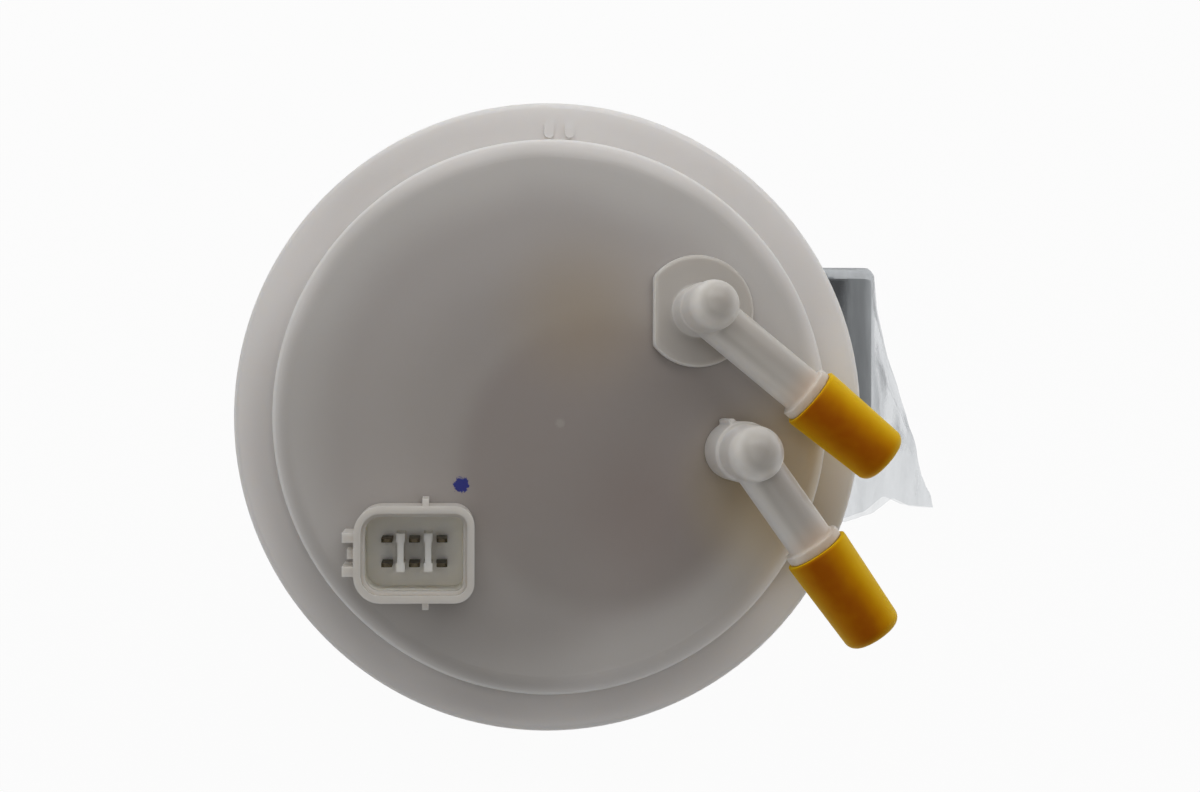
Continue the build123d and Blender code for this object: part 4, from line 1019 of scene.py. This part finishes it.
# %% Wires
WIRE_RADIUS, WIRE_GAP, INSULATION_SIDES, WIRE_POINTS = 1.1, 4.0, 14, 90
SLACK_FIRST, SLACK_STEP = -0.4, 0.9
PUMP_ROUTE = [
    (-31.5, -25.6, -10.1), (-31.5, -25.6, -22), (-31.5, -25.6, -42),
    (-25, -4, -62), (-25, -4, -76), (-25, -4, -88.7),
]
SENDER_ROUTE = [
    (-26.9, -30.6, -10.1), (-26.9, -30.6, -24), (-26.9, -30.6, -48),
    (-12, -46.2, -72), (-12, -46.2, -88), (-12, -46.2, -102.8),
]


def make_wires(node, route, finishes):
    for index, (colour, finish) in enumerate(finishes):
        slack = SLACK_STEP * index + SLACK_FIRST
        own = [(x + WIRE_GAP * index, y + slack * (1 if 1 < k < len(route) - 2 else 0), z)
               for k, (x, y, z) in enumerate(route)]
        line = smooth_line(own, WIRE_POINTS)
        wire = add_piece(f"{node}_{colour}", carry_ring(line, WIRE_RADIUS, INSULATION_SIDES),
                         ring_faces(len(line), INSULATION_SIDES), finish)
        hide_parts(node)
        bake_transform(wire)
        print(wire.name, "length", round(line_length(line)), "mm")


make_wires("pump_wires", PUMP_ROUTE, [("red", INSULATION_RED), ("black", INSULATION_BLACK)])
make_wires("sender_wires", SENDER_ROUTE, [("violet", INSULATION_VIOLET), ("grey", INSULATION_GREY)])

# %% [markdown]
# ## Strainer sock
# The pick-up strainer is a flat bag of woven nylon, folded once and welded along its
# edge. Fuel weight keeps it slightly plump in the middle. It is a crowned pad whose
# edge is pressed flat in a two-millimetre weld, and the weave shows in its finish.

# %% Strainer
WELD, WELD_HALF, PLUMP_OVER = 2.0, 0.2, 7.0
PULL_ENDS, PULL_SIDES = 0.09, 0.16
PUCKER, PUCKER_SIZE = 0.10, 3.5
COLUMNS, ROWS = 56, 30


def sock_points(middle, half):
    """Upper layer, then lower layer: pulled in a little along the edges, plump inside the weld."""
    points = []
    for layer in (1, -1):
        for row in range(ROWS + 1):
            for column in range(COLUMNS + 1):
                u, v = 2 * column / COLUMNS - 1, 2 * row / ROWS - 1
                ends, sides = 1 - PULL_ENDS * u ** 4 * v ** 2, 1 - PULL_SIDES * v ** 4 * u ** 4
                x, y = half.x * u * sides ** 0.5, half.y * v * ends * sides ** 0.5
                inset = min(half.x - abs(half.x * u), half.y - abs(half.y * v)) / MM - WELD
                plump = math.sin(min(max(inset / PLUMP_OVER, 0), 1) * math.pi / 2)
                pucker = PUCKER * noise.noise(Vector((x, y, layer)) / (PUCKER_SIZE * MM))
                z = layer * ((half.z - 0.22 * MM) * plump + WELD_HALF * MM)
                z += pucker * min(max(inset, 0), 1) * MM
                points.append((middle.x + x, middle.y + y, middle.z + z))
    return points


def sock_faces():
    """Both layers, and the strip that joins them round the border."""
    across, count = COLUMNS + 1, (ROWS + 1) * (COLUMNS + 1)
    faces = []
    for layer in (0, 1):
        for row in range(ROWS):
            for column in range(COLUMNS):
                a = layer * count + row * across + column
                quad = (a, a + 1, a + across + 1, a + across)
                faces.append(quad if layer == 0 else quad[::-1])
    border = list(range(across))
    border += [row * across + COLUMNS for row in range(1, ROWS + 1)]
    border += [ROWS * across + column for column in range(COLUMNS - 1, -1, -1)]
    border += [row * across for row in range(ROWS - 1, 0, -1)]
    for a, b in zip(border, border[1:] + border[:1]):
        faces.append((b, a, a + count, b + count))
    return faces


def make_strainer_sock():
    low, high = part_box("strainer_sock")
    points = sock_points((low + high) / 2, (high - low) / 2)
    sock = add_piece("woven_strainer_sock", points, sock_faces(), FILTER_MESH)
    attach(sock, "reservoir")
    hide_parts("strainer_sock")
    print(sock.name, [round(side / MM) for side in (high - low)], "mm")


make_strainer_sock()

# %% [markdown]
# ## The float's clear bag
# For shipping, a thin polythene bag is pulled over the float. It fits closely round the
# far end, gets wider and flatter towards its open mouth, and the arm's wire enters
# through a slit on the inner side. The film is one continuous sheet with long soft folds
# that run from the corners, and its mouth edge is cut unevenly and hangs loose.

# %% Float bag
BAG_FAR = 47.4
# across from the float's middle, where the mouth's edge lies along y
MOUTH_EDGE = [
    (-17, -17), (-12.5, -33), (0, -35.5), (6.6, -35.2), (14.9, -32.3), (21.6, -27.3),
    (27.3, -30), (39, -31),
]
# place along y, half width or half height
BAG_OUTER_WIDTH = [
    (47.4, 13.6), (46.6, 14.6), (45, 15.6), (34, 16.4), (23.4, 18.6), (16, 20.0), (-4, 26.3),
    (-13, 29.3), (-24, 32.2), (-31, 35.5), (-39, 37.2),
]
BAG_INNER_WIDTH = [(47.4, 14.9), (45, 15.7), (38, 15.9), (-11, 16.0), (-39, 17.2)]
BAG_OUTER_HEIGHT = [(47.4, 8.6), (45, 9.5), (38, 9.8), (-10.6, 9.6), (-39, 3.8)]
BAG_INNER_HEIGHT = [(47.4, 8.6), (45, 9.5), (38, 9.8), (-10.6, 9.8), (-39, 11.6)]
BAG_KNEE, BAG_EDGE = 2.0, -17.4
SLIT_FROM = -11.0
AROUND, STATIONS = 180, 96
# fold widths and lengths in mm, heights in mm, and how folds grow where the film is loose
FOLD, CREASE = (4.2, 30.0, 0.55), (1.9, 9.0, 0.25)
TIGHT_RIPPLE, LOOSE_RIPPLE = 0.16, 0.9
JOIN_WITHIN = 0.02


def along_table(table, place):
    """A value read off a short table of (place, value), straight between its rows."""
    places, values = zip(*sorted(table))
    return float(np.interp(place, places, values))


def share_between(value, start, end):
    """0 up to start, 1 from end on, and even in between."""
    return min(1, max(0, (value - start) / (end - start)))


def bag_points():
    """Stations from the far end to the mouth, each carried round from the slit and back."""
    middle = middle_of("float") / MM
    points = []
    for station in range(STATIONS + 1):
        share = station / STATIONS
        for step in range(AROUND + 1):
            turn = math.pi * (1 - 2 * step / AROUND)
            cosine, sine = math.cos(turn), math.sin(turn)
            guess_y = BAG_FAR - share * (BAG_FAR + 35)
            boxy = 0.36 + 0.30 * min(1, max(0, -10 - guess_y) / 22)
            side = math.copysign(abs(cosine) ** boxy, cosine)
            rise = math.copysign(abs(sine) ** boxy, sine)
            x = side * along_table(BAG_OUTER_WIDTH if side > 0 else BAG_INNER_WIDTH, guess_y)
            y = BAG_FAR - share * (BAG_FAR - along_table(MOUTH_EDGE, x))
            toward_slit = share_between(x, BAG_KNEE, BAG_EDGE)
            height = along_table(BAG_OUTER_HEIGHT, y) * (1 - toward_slit)
            height += along_table(BAG_INNER_HEIGHT, y) * toward_slit
            fold = noise.noise(Vector((x / FOLD[0], y / FOLD[1], 2.0 * rise)))
            crease = noise.noise(Vector((x / CREASE[0], y / CREASE[1], 5.0 + 2.0 * rise)))
            loose = share_between(y, 40, -20)
            ripple = TIGHT_RIPPLE + LOOSE_RIPPLE * loose ** 1.5
            lift = (FOLD[2] * fold + CREASE[2] * crease) * ripple * (1.2 if rise > 0 else 0.8)
            sideways = middle.x + x + 0.3 * crease * ripple
            points.append(Vector((sideways, y, middle.z + (height * rise + lift))) * MM)
    return points


def bag_faces(points):
    """The sheet, open along the slit near the mouth, with one face over the far end."""
    faces = []
    for station in range(STATIONS):
        for step in range(AROUND):
            a = station * (AROUND + 1) + step
            if step in (0, AROUND - 1) and points[a + AROUND + 1].y / MM < SLIT_FROM:
                continue
            faces.append((a, a + 1, a + AROUND + 2, a + AROUND + 1))
    return [*faces, tuple(range(AROUND))]


def make_float_bag():
    points = bag_points()
    bag = add_piece("clear_float_bag", points, bag_faces(points), BAG_FILM)
    build = bmesh.new()
    build.from_mesh(bag.data)
    bmesh.ops.remove_doubles(build, verts=build.verts, dist=JOIN_WITHIN * MM)
    end_face = max(build.faces, key=lambda face: len(face.verts))
    bmesh.ops.triangulate(build, faces=[end_face])
    build.to_mesh(bag.data)
    build.free()
    bag.data.polygons.foreach_set("use_smooth", [True] * len(bag.data.polygons))
    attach(bag, "float_arm")
    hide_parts("float_bag")
    return bag


float_bag = make_float_bag()
print(float_bag.name, len(float_bag.data.polygons), "faces")

# %% [markdown]
